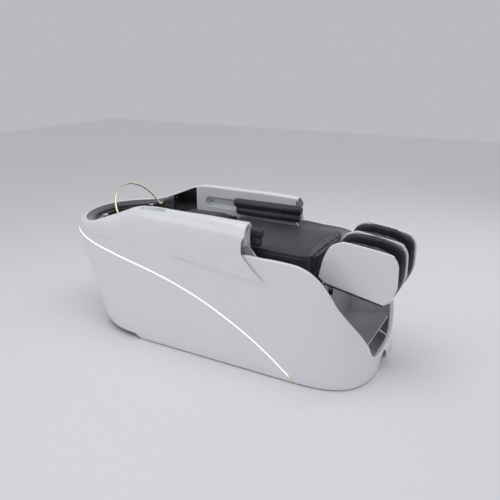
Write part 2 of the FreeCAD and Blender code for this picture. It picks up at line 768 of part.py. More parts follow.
def arm_pad():
    """Two padded rolls joined along their length, hollowed where the carriage enters."""
    middle = value_of(PAD_Y)
    radius = size("pad_roll") / 2
    length = size("pad_length")
    upper_start = Vector(ARM_START - 18, middle, value_of(ROLL_Z))
    upper = Part.makeCylinder(radius, length, upper_start, Vector(1, 0, 0))
    lower = Part.makeCylinder(radius - 1, length - 28, Vector(ARM_START, middle, value_of(LOWER_Z)),
                              Vector(1, 0, 0))
    upper = upper.makeFillet(14, [e for e in upper.Edges if e.Closed])
    lower = lower.makeFillet(12, [e for e in lower.Edges if e.Closed])
    web = Part.makeBox(length - 60, 30, value_of(ROLL_Z) - value_of(LOWER_Z),
                       Vector(ARM_START + 10, middle - 15, value_of(LOWER_Z)))
    socket = Part.makeBox(140 + 2 * gap, 60, 18 + 2 * gap,
                          Vector(-20 - gap, middle + 6, value_of(SLOT_Z) - 9 - gap))
    return upper.fuse([lower, web]).cut(socket)


left_pad = keep(feature("LeftPad", arm_pad()), "left_arm_pad")
keep(mirrored("RightPad", left_pad), "right_arm_pad")

# ---------------------------------------------------------------- basin end

def basin_plan(inset, head_inset):
    """Half plan inside the crest, closed straight across at the cockpit's end."""
    head = -size("head_reach") + CREST_SETBACK + head_inset
    bend = head + CREST_CURVE - head_inset
    half = crest_half_at(bend) - inset
    end = -size("cockpit_end")
    steps = 12
    points = [(head + (bend - head) * (1 - math.cos(a)), half * math.sin(a))
              for a in (math.pi / 2 * i / steps for i in range(steps + 1))]
    run = [bend + FLARE_RUN * i / 5 for i in range(1, 6)]
    points += [(x, crest_half_at(x) - inset) for x in run]
    return points + [(end, crest_half - inset)]


def basin_block(inset, head_inset, low, high):
    """Left half of the space inside the crest between two heights."""
    points = [Vector(x, y, low) for x, y in basin_plan(inset, head_inset)]
    curve = curve_edge(points[:-1])
    last = Vector(points[-1].x, 0, low)
    edges = [curve, Part.LineSegment(points[-2], points[-1]).toShape(),
             Part.LineSegment(points[-1], last).toShape(), Part.LineSegment(last, points[0]).toShape()]
    return outward(Part.Face(Part.Wire(edges)).extrude(Vector(0, 0, high - low)))


def both_sides(half_shape):
    whole = half_shape.fuse(half_shape.mirror(Vector(), Vector(0, 1, 0)))
    return whole.removeSplitter()


def bowl_plan(shrink, lift, height):
    """Closed rounded plan of the bowl at a height, pulled in by a margin."""
    head, foot = -value_of(BOWL_HEAD) + shrink, -value_of(BOWL_FOOT) - shrink
    half = value_of(BOWL_HALF) - shrink
    centre, reach = (head + foot) / 2 - lift, (foot - head) / 2
    power = 2.5
    points = []
    for index in range(24):
        angle = 2 * math.pi * index / 24
        c, s = math.cos(angle), math.sin(angle)
        points.append(Vector(centre + reach * math.copysign(abs(c) ** (2 / power), c),
                             half * math.copysign(abs(s) ** (2 / power), s), height))
    curve = Part.BSplineCurve()
    curve.interpolate(points, True)
    return Part.Wire(curve.toShape())


def basin_surround():
    """Black liner inside the crest: an upright wall and the ledge round the bowl."""
    ledge = value_of(LEDGE)
    low = ledge - wall
    high = size("rim_height") + 20
    body = basin_block(1.8, 1.8, low, high).cut(basin_block(7.0, 9.0, ledge, high + 1))
    rim = [(x, z - 1.5) for x, z in crest_stretched() if x < 0]
    above = curved_prism(rim, [(rim[-1][0], high + 50), (rim[0][0], high + 50)], -1.0)
    mouth = Part.makeLoft([bowl_plan(-0.6, 0, low - 1), bowl_plan(-0.6, 0, ledge + 1)], True)
    whole = both_sides(body.cut(above))
    return whole.cut(mouth)


def wash_basin():
    """Deep bowl with a flange that lies on the ledge, and a round drain outlet."""
    ledge = value_of(LEDGE)
    depth = size("bowl_depth")
    steps = ((0, 0, 0.0), (4, 0, 0.12), (14, 2, 0.45), (34, 6, 0.8), (62, 12, 1.0))
    outside = Part.makeLoft([bowl_plan(in_, lift, ledge + 4 - share * (depth + 4))
                             for in_, lift, share in steps], True)
    inside = Part.makeLoft([bowl_plan(in_ + 5, lift, ledge + 4.5 - share * (depth - 0.5))
                            for in_, lift, share in steps], True)
    flange = Part.makeLoft([bowl_plan(-14, 0, ledge), bowl_plan(-14, 0, ledge + 4)], True)
    drain_x = -value_of(BOWL_HEAD) + 150
    neck = Part.makeCylinder(27, 30, Vector(drain_x, 0, ledge - depth - 22))
    bore = Part.makeCylinder(22, 60, Vector(drain_x, 0, ledge - depth - 30))
    return outward(outside.fuse([flange, neck])).cut(inside).cut(bore)


keep(feature("BasinSurround", basin_surround()), "basin_surround")
keep(feature("WashBasin", wash_basin()), "wash_basin")

DRAIN_X = f"(150 - {BOWL_HEAD})"
BOWL_BASE = f"({LEDGE} - bowl_depth)"
strainer_plate = cylinder("StrainerPlate", "27", "2", (DRAIN_X, "0", f"{BOWL_BASE} + 5.2"))
strainer_stem = cylinder("StrainerStem", "4", "18", (DRAIN_X, "0", f"{BOWL_BASE} - 12"))
strainer_knob = cylinder("StrainerKnob", "6", "7", (DRAIN_X, "0", f"{BOWL_BASE} + 6"))
strainer_holes = [cylinder(f"StrainerHole{index}", "2.4", "6",
                           (f"{DRAIN_X} + 14 * cos({60 * index})", f"14 * sin({60 * index})",
                            f"{BOWL_BASE} + 3")) for index in range(6)]
keep(cut("Strainer", fuse("StrainerSolid", [strainer_plate, strainer_stem, strainer_knob]),
         fuse("StrainerHoles", strainer_holes)), "drain_strainer")

TANK_TOP = f"({BOWL_BASE} - 100)"


def pipe(points, radius, bend):
    """Round pipe through straight runs with bends, as one swept solid."""
    corners = [Vector(*point) for point in points]
    edges = []
    start = corners[0]
    for before, corner, after in zip(corners, corners[1:], corners[2:]):
        inward = (before - corner).normalize()
        onward = (after - corner).normalize()
        angle = inward.getAngle(onward)
        setback = bend / math.tan(angle / 2)
        first, last = corner + inward * setback, corner + onward * setback
        bisector = (inward + onward).normalize()
        middle = corner + bisector * (bend / math.sin(angle / 2) - bend)
        edges += [Part.LineSegment(start, first).toShape(), Part.Arc(first, middle, last).toShape()]
        start = last
    edges.append(Part.LineSegment(start, corners[-1]).toShape())
    path = Part.Wire(edges)
    ring = Part.Wire(Part.Circle(corners[0], corners[1] - corners[0], radius).toShape())
    return outward(path.makePipeShell([ring], True, False))


drain_x, bowl_base = value_of(DRAIN_X), value_of(BOWL_BASE)
trap_low = bowl_base - 78
trap = pipe([(drain_x, 0, bowl_base - 22), (drain_x, 0, trap_low), (drain_x + 70, 0, trap_low),
             (drain_x + 70, 0, bowl_base - 40), (drain_x + 130, 0, bowl_base - 40),
             (drain_x + 130, 0, value_of(TANK_TOP))], 18, 24)
keep(feature("DrainTrap", trap), "drain_trap")

neck_block = block_body("neck_rest", ("-(cockpit_end + 84)", "-(cockpit_end + 12)"), ("-115", "115"),
                        (f"{LEDGE} + 4.5", f"{LEDGE} + 46"))
doc.recompute()
pocket(neck_block, circle_sketch(neck_block, "YZ_Plane", ("0", f"{LEDGE} + 120"), "92",
                                 "-(cockpit_end + 90)"), "100")
fillet(neck_block, "8", lambda edge: edge.Length > 30)
keep(neck_block, "neck_rest")

# ---------------------------------------------------------------- water ring

ring_arc = doc.addObject("Part::Torus", "RingArc")
ring_arc.setExpression("Radius1", bound(f"{RING_RADIUS} - 8"))
ring_arc.setExpression("Radius2", bound("ring_tube / 2"))
ring_arc.Angle3 = 180
ring_arc.Placement = FreeCAD.Placement(Vector(), Rotation(Vector(1, 0, 0), 90))
upright_turn = Rotation(Vector(0, 0, 1), 90).multiply(Rotation(Vector(1, 0, 0), 90))
ring_arc.Placement = FreeCAD.Placement(
    Vector(), Rotation(Vector(0, 1, 0), -size("ring_lean")).multiply(upright_turn))
ring_arc.setExpression("Placement.Base.x", bound("-ring_x"))
ring_arc.setExpression("Placement.Base.z", bound(RING_Z))
ring_stubs = [cylinder(f"RingStub{index}", "4", "16",
                       ("-ring_x", f"{RING_RADIUS} - 10" if side > 0 else f"-({RING_RADIUS} + 6)",
                        RING_Z), "y")
              for index, side in enumerate((1, -1))]
ring_hubs = [cylinder(f"RingHub{index}", "8.5", "15",
                      ("-ring_x", f"{RING_RADIUS} - 15.5" if side > 0 else f"-({RING_RADIUS} - 0.5)",
                       RING_Z), "y")
             for index, side in enumerate((1, -1))]
keep(fuse("WaterRing", [ring_arc] + ring_stubs + ring_hubs), "water_ring")

pivot_block = box("PivotBlock", ("-(ring_x + 13)", "13 - ring_x"),
                  (f"{RING_RADIUS}", f"{RING_RADIUS} + 16"), (LEDGE, f"{RING_Z} + 12"))
pivot_bore = cylinder("PivotBore", "4 + fit", "8", ("-ring_x", f"{RING_RADIUS} - 1", RING_Z), "y")
left_pivot = cut("LeftPivot", pivot_block, pivot_bore)
keep(group("RingPivots", [left_pivot, mirrored("RightPivot", left_pivot)]), "ring_pivot_blocks")

KNOB_X = "-(head_reach - 250)"
KNOB_Y = f"({BOWL_HALF} + 38.5)"
knob_base = cylinder("KnobBase", "18", "4", (KNOB_X, KNOB_Y, LEDGE))
knob_hole = cylinder("KnobHole", "6 + fit", "9", (KNOB_X, KNOB_Y, f"{LEDGE} - 1"))
keep(cut("MixerPlate", knob_base, knob_hole), "mixer_plate")
knob_body = cylinder("KnobBody", "15", "16", (KNOB_X, KNOB_Y, f"{LEDGE} + 4.3"))
knob_stem = cylinder("KnobStem", "6", "7", (KNOB_X, KNOB_Y, f"{LEDGE} + 0.3"))
knob_mark = box("KnobMark", (f"{KNOB_X} - 1.5", f"{KNOB_X} + 1.5"), (f"{KNOB_Y} + 4", f"{KNOB_Y} + 14"),
                (f"{LEDGE} + 19", f"{LEDGE} + 21.5"))
keep(fuse("MixerKnob", [knob_body, knob_stem, knob_mark]), "mixer_knob")

# ---------------------------------------------------------------- steel base

RAIL_LOW = "floor_gap + 14"
RAIL_TOP = f"({RAIL_LOW} + rail_tube)"
SEAT_RAIL_LOW = f"({FRAME_TOP} - seat_tube)"
half_rail = "rail_tube / 2"
half_tube = "seat_tube / 2"
left_rail_box = box("LeftFloorRail", ("-700", "550"), (f"{RAIL_Y} - {half_rail}", f"{RAIL_Y} + {half_rail}"),
                    (RAIL_LOW, RAIL_TOP))
keep(group("FloorRails", [left_rail_box, mirrored("RightFloorRail", left_rail_box)]), "floor_rails")
CROSS_STATIONS = (-680, -395, -250, 0, 520)
cross = [box(f"Cross{index}", (f"{x} - 20", f"{x} + 20"),
             (f"-({RAIL_Y} - {half_rail})", f"{RAIL_Y} - {half_rail}"), (RAIL_LOW, RAIL_TOP))
         for index, x in enumerate(CROSS_STATIONS)]
POST_STATIONS = (-395, 0, 520)
posts = [box(f"Post{index}{side}", (f"{x} - {half_tube}", f"{x} + {half_tube}"),
             (f"{side} * {RAIL_Y} - {half_tube}", f"{side} * {RAIL_Y} + {half_tube}"),
             (RAIL_TOP, SEAT_RAIL_LOW))
         for index, x in enumerate(POST_STATIONS) for side in (1, -1)]
keep(group("Uprights", posts), "frame_uprights")
left_seat_rail = box("LeftSeatRail", ("-(cockpit_end - 4)", "calf_hinge_x - 18"),
                     (f"{RAIL_Y} - {half_tube}", f"{RAIL_Y} + {half_tube}"), (SEAT_RAIL_LOW, FRAME_TOP))
keep(group("SeatRails", [left_seat_rail, mirrored("RightSeatRail", left_seat_rail)]), "seat_rails")
seat_cross = [box(f"SeatCross{index}", (f"{x} - {half_tube}", f"{x} + {half_tube}"),
                  (f"-({RAIL_Y} - {half_tube})", f"{RAIL_Y} - {half_tube}"), (SEAT_RAIL_LOW, FRAME_TOP))
              for index, x in enumerate((-395, 60, 300))]
keep(group("CrossMembers", cross + seat_cross), "frame_cross_members")

basin_supports = []
for side in (1, -1):
    arm_y = f"{side} * {RAIL_Y}"
    arm_top = f"{LEDGE} - shell_wall"
    post = box(f"BasinPost{side + 1}", ("-695", "-665"), (f"{arm_y} - {half_tube}", f"{arm_y} + {half_tube}"),
               (RAIL_TOP, f"{arm_top} - 25"))
    arm = box(f"BasinArm{side + 1}", ("-(head_reach - 190)", "-(cockpit_end + 30)"),
              (f"{arm_y} - 5", f"{arm_y} + 20"), (f"{arm_top} - 25", arm_top))
    basin_supports.append(fuse(f"BasinSupport{side + 1}", [post, arm]))
keep(group("BasinSupports", basin_supports), "basin_supports")

feet = []
for index, x in enumerate((-640, -120, 430)):
    for side in (1, -1):
        foot_y = f"{side} * {RAIL_Y}"
        disc = cylinder(f"FootDisc{index}{side + 1}", "22", "12", (f"{x}", foot_y, "0"))
        stem = cylinder(f"FootStem{index}{side + 1}", "6", "floor_gap + 2", (f"{x}", foot_y, "12"))
        feet.append(fuse(f"Foot{index}{side + 1}", [disc, stem]))
keep(group("LevellingFeet", feet), "levelling_feet")

# ---------------------------------------------------------------- seat

seat_board = block_body("SeatBoard", ("-seat_start", "seat_front - 12"),
                        (f"-({CUSHION_HALF} - 12)", f"{CUSHION_HALF} - 12"), (FRAME_TOP, SEAT_BASE))
fillet(seat_board, "12", upright)
keep(seat_board, "seat_board")
seat = block_body("SeatCushion", ("-seat_start", "seat_front"), (f"-{CUSHION_HALF}", CUSHION_HALF),
                  (SEAT_BASE, SEAT_TOP))
fillet(seat, "22", upright)
fillet(seat, "13", lambda edge: edge.BoundBox.ZMin > value_of(SEAT_TOP) - 0.1)
keep(seat, "seat_cushion")


def side_deck():
    """Deck between the left shell and the cushions, at the foot of the inner panel."""
    top = value_of(DECK_TOP)
    inner = value_of(BACK_HALF) + 16
    seat_side = value_of(CUSHION_HALF) + 6
    front = size("calf_hinge_x") - 8
    outline = [(-size("cockpit_end") - 4, inner), (-size("seat_start") - 32, inner),
               (-size("seat_start") - 32, seat_side), (front, seat_side), (front, 600),
               (-size("cockpit_end") - 4, 600)]
    points = [Vector(x, y, top - 4) for x, y in outline]
    slab = Part.Face(Part.makePolygon(points + points[:1])).extrude(Vector(0, 0, 4))
    return outward(slab).common(body_solid(-wall - gap))


left_deck = feature("LeftDeck", side_deck())
keep(group("SideDecks", [left_deck, mirrored("RightDeck", left_deck)]), "side_decks")

SWING = 420.0
LINER = 4.0


def well_liner():
    """Curved tray under the calf rest, concentric with its hinge, and the wall behind it."""
    hinge_x, hinge_z = size("calf_hinge_x"), value_of(CALF_HINGE_Z)
    back = hinge_x + 2
    end_angle = math.acos((size("nose_reach") - 42 - hinge_x) / SWING)
    start_angle = math.pi / 2
    mid_angle = (start_angle + end_angle) / 2

    def on_arc(radius, angle):
        return Vector(hinge_x + radius * math.cos(angle), -600, hinge_z - radius * math.sin(angle))

    outer = Part.Arc(on_arc(SWING + LINER, start_angle), on_arc(SWING + LINER, mid_angle),
                     on_arc(SWING + LINER, end_angle)).toShape()
    inner = Part.Arc(on_arc(SWING, start_angle), on_arc(SWING, mid_angle), on_arc(SWING, end_angle)).toShape()
    ends = [Part.LineSegment(on_arc(SWING + LINER, angle), on_arc(SWING, angle)).toShape()
            for angle in (start_angle, end_angle)]
    tray = Part.Face(Part.Wire(Part.__sortEdges__([outer, inner] + ends))).extrude(Vector(0, 1200, 0))
    wall_top = hinge_z - 62
    back_wall = Part.makeBox(LINER, 1200, wall_top - (hinge_z - SWING - LINER),
                             Vector(hinge_x - LINER, -600, hinge_z - SWING - LINER))
    crank_slot = Part.makeBox(40, 40, 150, Vector(hinge_x - 20, -20, wall_top - 140))
    inside = both_sides(body_solid(-wall - 3 * gap))
    return outward(tray).fuse(back_wall).cut(crank_slot).common(inside)


keep(feature("WellLiner", well_liner()), "foot_well_liner")

# ---------------------------------------------------------------- backrest

BACK_HEAD = "(cockpit_end - 9)"
BACK_FOOT = "(seat_start + 12)"
BOARD_HEAD = "(cockpit_end - 34)"
back_board_base = f"({BACK_BASE} - board_thick)"
board = box("BackBoardPlate", (f"-{BOARD_HEAD}", f"-{BACK_FOOT} - 3"), (f"-{BACK_HALF}", BACK_HALF),
            (back_board_base, BACK_BASE))
keep(board, "backrest_board")
side_plates = []
for side in (1, -1):
    low = f"{BACK_HALF} + 0.5" if side > 0 else f"-({BACK_HALF} + 4.5)"
    cheek = box(f"Cheek{side + 1}", (f"-({RECLINE_X} + 14)", f"-({RECLINE_X} - 9)"), (low, f"{low} + 4"),
                (back_board_base, f"{RECLINE_Z} + 11"))
    tab = box(f"CheekTab{side + 1}", (f"-({RECLINE_X} + 60)", f"-({RECLINE_X} - 3)"),
              (low if side > 0 else f"-({BACK_HALF} + 4.5)", f"{low} + 4"),
              (back_board_base, f"{BACK_BASE} - 1"))
    foot_tab = box(f"CheekFoot{side + 1}", (f"-({RECLINE_X} + 60)", f"-({RECLINE_X} + 2)"),
                   (f"{BACK_HALF} - 30", f"{BACK_HALF} + 4.5") if side > 0
                   else (f"-({BACK_HALF} + 4.5)", f"-({BACK_HALF} - 30)"),
                   (f"{back_board_base} - 3", back_board_base))
    bore = cylinder(f"CheekBore{side + 1}", "pin_size / 2 + fit", "6",
                    (f"-{RECLINE_X}", f"{low} - 1", RECLINE_Z), "y")
    cheek_solid = fuse(f"CheekSolid{side + 1}", [cheek, tab, foot_tab])
    side_plates.append(cut(f"CheekPlate{side + 1}", cheek_solid, bore))
keep(group("BackCheeks", side_plates), "backrest_hinge_plates")

back = profile_body("BackCushion", [(f"-{BACK_HEAD} + 14", BACK_BASE), (f"-{BACK_FOOT}", BACK_BASE),
                                    (f"-{BACK_FOOT}", f"{SEAT_TOP} + 6"),
                                    (f"-{BACK_FOOT} - 60", f"{BACK_BASE} + back_thick"),
                                    (f"-{BACK_HEAD} + 40", f"{BACK_BASE} + back_thick"),
                                    (f"-{BACK_HEAD}", f"{SEAT_TOP} + 8"),
                                    (f"-{BACK_HEAD}", f"{BACK_BASE} + 50")],
                    (f"-{BACK_HALF}", BACK_HALF))
fillet(back, "9", lambda edge: not crosswise(edge) and edge.BoundBox.ZMin > value_of(BACK_BASE) + 40)
keep(back, "back_cushion")

brackets = []
pins = []
for side in (1, -1):
    low = f"{BACK_HALF} + 5.5" if side > 0 else f"-({BACK_HALF} + 11.5)"
    ear = box(f"ReclineEar{side + 1}", (f"-({RECLINE_X} + 12)", f"-({RECLINE_X} - 11)"), (low, f"{low} + 6"),
              (FRAME_TOP, f"{RECLINE_Z} + 12"))
    bore = cylinder(f"ReclineBore{side + 1}", "pin_size / 2", "8",
                    (f"-{RECLINE_X}", f"{low} - 1", RECLINE_Z), "y")
    brackets.append(cut(f"ReclineBracket{side + 1}", ear, bore))
    pin_low = f"{BACK_HALF} + 0.7" if side > 0 else f"-({BACK_HALF} + 13.5)"
    pins.append(cylinder(f"ReclinePin{side + 1}", "pin_size / 2", "12.8",
                         (f"-{RECLINE_X}", pin_low, RECLINE_Z), "y"))

# ---------------------------------------------------------------- calf rest

REST_SLOPE = 13.0
REST_OUTLINE = [(14, 9), (33, 102), (58, 160), (82, 184), (116, 197), (147, 200), (339, 172),
                (371, 150), (387, 121), (390, 93), (391, 28), (388, -1), (368, -59), (334, -85), (43, -17)]


def rest_profile(inset):
    """Side outline of the calf rest from the hinge, pulled in by an inset."""
    stretch = size("calf_length") / 376.0
    hinge_x, hinge_z = size("calf_hinge_x"), value_of(CALF_HINGE_Z)
    drawn = [Vector(hinge_x + 14 + (x - 14) * stretch, 0, hinge_z + z) for x, z in REST_OUTLINE]
    points = []
    for index, point in enumerate(drawn):
        along = (drawn[(index + 1) % len(drawn)] - drawn[index - 1]).normalize()
        points.append(point + Vector(along.z, 0, -along.x) * inset)
    edges = [curve_edge(points[:-1])]
    edges += [Part.LineSegment(a, b).toShape()
              for a, b in ((points[-2], points[-1]), (points[-1], points[0]))]
    return Part.Wire(edges)


def rest_slice(inset, y_back, y_front):
    """Slice of the calf rest between two slanting planes, each given at its back and front."""
    face = Part.Face(rest_profile(inset))
    solid = outward(face.extrude(Vector(0, 700, 0)))
    solid.translate(Vector(0, -350, 0))
    back, front = size("calf_hinge_x"), size("calf_hinge_x") + 400
    points = [Vector(back, y_back[0], 0), Vector(front, y_front[0], 0),
              Vector(front, y_front[1], 0), Vector(back, y_back[1], 0)]
    slab = outward(Part.Face(Part.makePolygon(points + points[:1])).extrude(Vector(0, 0, 900)))
    return solid.common(slab)


half_back = size("calf_half")
half_front = size("calf_half") - size("calf_taper")
panel = size("panel_thick")
middle_half = 6.0
left_calf_panel = keep(feature("LeftCalfPanel", rest_slice(0, (half_back - panel, half_back),
                                                          (half_front - panel, half_front))),
                       "left_calf_panel")
keep(mirrored("RightCalfPanel", left_calf_panel), "right_calf_panel")
keep(feature("MiddleCalfPanel", rest_slice(0, (-middle_half, middle_half), (-middle_half, middle_half))),
     "middle_calf_panel")


def calf_cushion():
    """Padded channel between the middle and left panels, open above and at both ends."""
    block = rest_slice(5, (middle_half, half_back - panel), (middle_half, half_front - panel))
    hinge_x, hinge_z = size("calf_hinge_x"), value_of(CALF_HINGE_Z)
    slope = math.radians(REST_SLOPE)
    padding = size("channel_wall")
    near = middle_half + padding
    far_back = half_back - panel - padding
    far_front = half_front - panel - padding
    sections = []
    for along, far in ((-60, far_back + 4), (460, far_front - 1)):
        centre_y = (near + far) / 2
        radius = (far - near) / 2
        base = Vector(hinge_x + along * math.cos(slope), centre_y, hinge_z - along * math.sin(slope) + 128)
        low = Vector(base.x, base.y, base.z - radius)
        left, right = Vector(base.x, base.y - radius, base.z), Vector(base.x, base.y + radius, base.z)
        up = Vector(0, 0, 200)
        corners = (right, right + up, left + up, left)
        edges = [Part.Arc(left, low, right).toShape()]
        edges += [Part.LineSegment(a, b).toShape() for a, b in zip(corners, corners[1:])]
        sections.append(Part.Wire(edges))
    return block.cut(outward(Part.makeLoft(sections, True, True)))


left_calf = keep(feature("LeftCalfCushion", calf_cushion()), "left_calf_cushion")
keep(mirrored("RightCalfCushion", left_calf), "right_calf_cushion")


CRANK_REACH = 130.0
CRANK_PLAY = 3.5


def calf_tray():
    """Black tray under the panels, with hinge knuckles and the crank arm."""
    hinge_x, hinge_z = size("calf_hinge_x"), value_of(CALF_HINGE_Z)
    bottom = (REST_OUTLINE[-2], REST_OUTLINE[-1])
    stretch = size("calf_length") / 376.0
    ends = [Vector(hinge_x + 14 + (x - 14) * stretch, 0, hinge_z + z) for x, z in bottom]
    down = Vector(-math.sin(math.radians(REST_SLOPE)), 0, -math.cos(math.radians(REST_SLOPE))) * 9
    points = [Vector(p.x, -half_back + 4, p.z) for p in (ends[0], ends[1])]
    points += [Vector(p.x + down.x, -half_back + 4, p.z + down.z) for p in (ends[1], ends[0])]
    slab = outward(Part.Face(Part.makePolygon(points + points[:1])).extrude(Vector(0, 2 * half_back - 8, 0)))
    back, front = hinge_x, hinge_x + 400
    trim = [Vector(back, -half_back + 3, 0), Vector(front, -half_front + 3, 0),
            Vector(front, half_front - 3, 0), Vector(back, half_back - 3, 0)]
    slab = slab.common(outward(Part.Face(Part.makePolygon(trim + trim[:1])).extrude(Vector(0, 0, 900))))
    pieces = []
    for side in (1, -1):
        y = side * value_of(RAIL_Y) - 30 * side - 4
        boss = Part.makeCylinder(13, 8, Vector(hinge_x, y, hinge_z), Vector(0, 1, 0))
        arm = side_prism([(hinge_x - 4, hinge_z - 13), (hinge_x + 80, hinge_z - 42),
                          (hinge_x + 80, hinge_z - 31), (hinge_x + 4, hinge_z - 7)], y, y + 8)
        pieces += [boss, arm]
    crank = side_prism([(hinge_x + 90, hinge_z - 33), (hinge_x + 90, hinge_z - 46),
                        (hinge_x + 16, hinge_z - 40), (hinge_x + 16, hinge_z - CRANK_REACH - 40),
                        (hinge_x - 16, hinge_z - CRANK_REACH - 40), (hinge_x - 16, hinge_z - 30),
                        (hinge_x + 20, hinge_z - 16)], -5, 5)
    slot_half = size("pin_size") / 2 + CRANK_PLAY
    slot = Part.makeBox(2 * slot_half, 20, 50,
                        Vector(hinge_x - slot_half, -10, hinge_z - CRANK_REACH - 30))
    whole = slab.fuse(pieces + [crank])
    bore = Part.makeCylinder(size("pin_size") / 2 + size("fit"), 2 * half_back,
                             Vector(hinge_x, -half_back, hinge_z), Vector(0, 1, 0))
    return whole.cut([bore, slot])


keep(feature("CalfTray", calf_tray()), "calf_rest_tray")
hinge_brackets = []
hinge_pins = []
for side in (1, -1):
    middle = f"{side} * ({RAIL_Y} - 30)"
    stub_side = (f"{RAIL_Y} - 50", f"{RAIL_Y} - {half_tube}")
    if side < 0:
        stub_side = (f"-({RAIL_Y} - {half_tube})", f"-({RAIL_Y} - 50)")
    stub = box(f"HingeStub{side + 1}", ("calf_hinge_x - 48", "calf_hinge_x - 18"), stub_side,
               (SEAT_RAIL_LOW, FRAME_TOP))
    ears = [box(f"CalfEar{side + 1}{index}", ("calf_hinge_x - 18", "calf_hinge_x + 12"),
                (f"{middle} + {shift}", f"{middle} + {shift} + 5"),
                (f"{CALF_HINGE_Z} - 60", f"{CALF_HINGE_Z} + 12"))
            for index, shift in enumerate((-11, 6))]
    bore = cylinder(f"CalfEarBore{side + 1}", "pin_size / 2", "30",
                    ("calf_hinge_x", f"{middle} - 15", CALF_HINGE_Z), "y")
    calf_bracket = fuse(f"CalfBracketSolid{side + 1}", [stub] + ears)
    hinge_brackets.append(cut(f"CalfBracket{side + 1}", calf_bracket, bore))
    hinge_pins.append(cylinder(f"CalfPin{side + 1}", "pin_size / 2", "26",
                               ("calf_hinge_x", f"{middle} - 13", CALF_HINGE_Z), "y"))
keep(group("HingeBrackets", brackets + hinge_brackets), "hinge_brackets")
keep(group("HingePins", pins + hinge_pins), "hinge_pins")

# ---------------------------------------------------------------- lift actuators

CALF_ROD_Z = f"({CALF_HINGE_Z} - {CRANK_REACH})"
calf_tube = cylinder("CalfTube", "21", "255", ("calf_hinge_x - 385", "0", CALF_ROD_Z), "x")
calf_gearbox = box("CalfGearbox", ("calf_hinge_x - 400", "calf_hinge_x - 330"), ("-28", "28"),
                   (f"{CALF_ROD_Z} - 62", f"{CALF_ROD_Z} + 26"))
calf_hanger = box("CalfHanger", ("calf_hinge_x - 315", "calf_hinge_x - 285"), ("-24", "24"),
                  (f"{CALF_ROD_Z} - 10", SEAT_RAIL_LOW))
calf_bore = cylinder("CalfBore", "10 + fit", "260", ("calf_hinge_x - 380", "0", CALF_ROD_Z), "x")
keep(cut("CalfMotor", fuse("CalfMotorSolid", [calf_tube, calf_gearbox, calf_hanger]), calf_bore),
     "calf_lift_motor")
calf_rod = cylinder("CalfRod", "10", "285", ("calf_hinge_x - 300", "0", CALF_ROD_Z), "x")
fork_plates = [box(f"CalfFork{side + 1}", ("calf_hinge_x - 40", "calf_hinge_x + 12"),
                   ("5.6", "10.6") if side > 0 else ("-10.6", "-5.6"),
                   (f"{CALF_ROD_Z} - 9", f"{CALF_ROD_Z} + 9")) for side in (1, -1)]
fork_root = box("CalfForkRoot", ("calf_hinge_x - 46", "calf_hinge_x - 34"), ("-10.6", "10.6"),
                (f"{CALF_ROD_Z} - 9", f"{CALF_ROD_Z} + 9"))
fork_gap = box("CalfForkGap", ("calf_hinge_x - 34", "calf_hinge_x + 20"), ("-5.6", "5.6"),
               (f"{CALF_ROD_Z} - 20", f"{CALF_ROD_Z} + 20"))
fork_pin = cylinder("CalfForkPin", "pin_size / 2", "23", ("calf_hinge_x", "-11.5", CALF_ROD_Z), "y")
rod_body = cut("CalfRodCut", fuse("CalfRodBody", [calf_rod, fork_root] + fork_plates), fork_gap)
keep(fuse("CalfRodWhole", [rod_body, fork_pin]), "calf_lift_rod")

BACK_LIFT_X = "-(seat_start + 170)"
BACK_UNDER = f"({BACK_BASE} - board_thick)"
back_tube = cylinder("BackTube", "23", f"{BACK_UNDER} - 175 - {RAIL_TOP}", (BACK_LIFT_X, "0", RAIL_TOP))
back_gearbox = box("BackGearbox", (f"{BACK_LIFT_X} - 32", f"{BACK_LIFT_X} + 32"), ("-30", "74"),
                   (RAIL_TOP, f"{RAIL_TOP} + 80"))
back_bore = cylinder("BackBore", "10 + fit", "600", (BACK_LIFT_X, "0", f"{RAIL_TOP} + 30"))
keep(cut("BackMotor", fuse("BackMotorSolid", [back_tube, back_gearbox]), back_bore), "back_lift_motor")
back_rod = cylinder("BackRod", "10", f"{BACK_UNDER} - 24 - {RAIL_TOP} - 60",
                    (BACK_LIFT_X, "0", f"{RAIL_TOP} + 60"))
back_roller = cylinder("BackRoller", "12", "60", (BACK_LIFT_X, "-30", f"{BACK_UNDER} - 12.5"), "y")
keep(fuse("BackRodWhole", [back_rod, back_roller]), "back_lift_rod")

# ---------------------------------------------------------------- water and power

tank = block_body("Reservoir", ("-640", "-440"), ("-150", "150"), (RAIL_TOP, TANK_TOP))
fillet(tank, "18", upright)
keep(tank, "water_reservoir")
pump_volute = cylinder("PumpVolute", "42", "34", ("-345", "-90", f"{RAIL_TOP} + 46"), "x")
pump_motor = cylinder("PumpMotor", "33", "80", ("-311", "-90", f"{RAIL_TOP} + 46"), "x")
pump_inlet = cylinder("PumpInlet", "12", "95", ("-440", "-90", f"{RAIL_TOP} + 46"), "x")
pump_shelf = box("PumpShelf", ("-410", "-235"), ("-125", "-55"), (RAIL_TOP, f"{RAIL_TOP} + 5"))
pump_foot = box("PumpFoot", ("-330", "-240"), ("-110", "-70"), (f"{RAIL_TOP} + 5", f"{RAIL_TOP} + 24"))
keep(fuse("Pump", [pump_volute, pump_motor, pump_inlet, pump_foot, pump_shelf]), "circulation_pump")
power = block_body("PowerBox", ("40", "230"), ("-120", "120"), (RAIL_TOP, f"{RAIL_TOP} + 90"))
fillet(power, "8", upright)
keep(power, "power_supply_box")

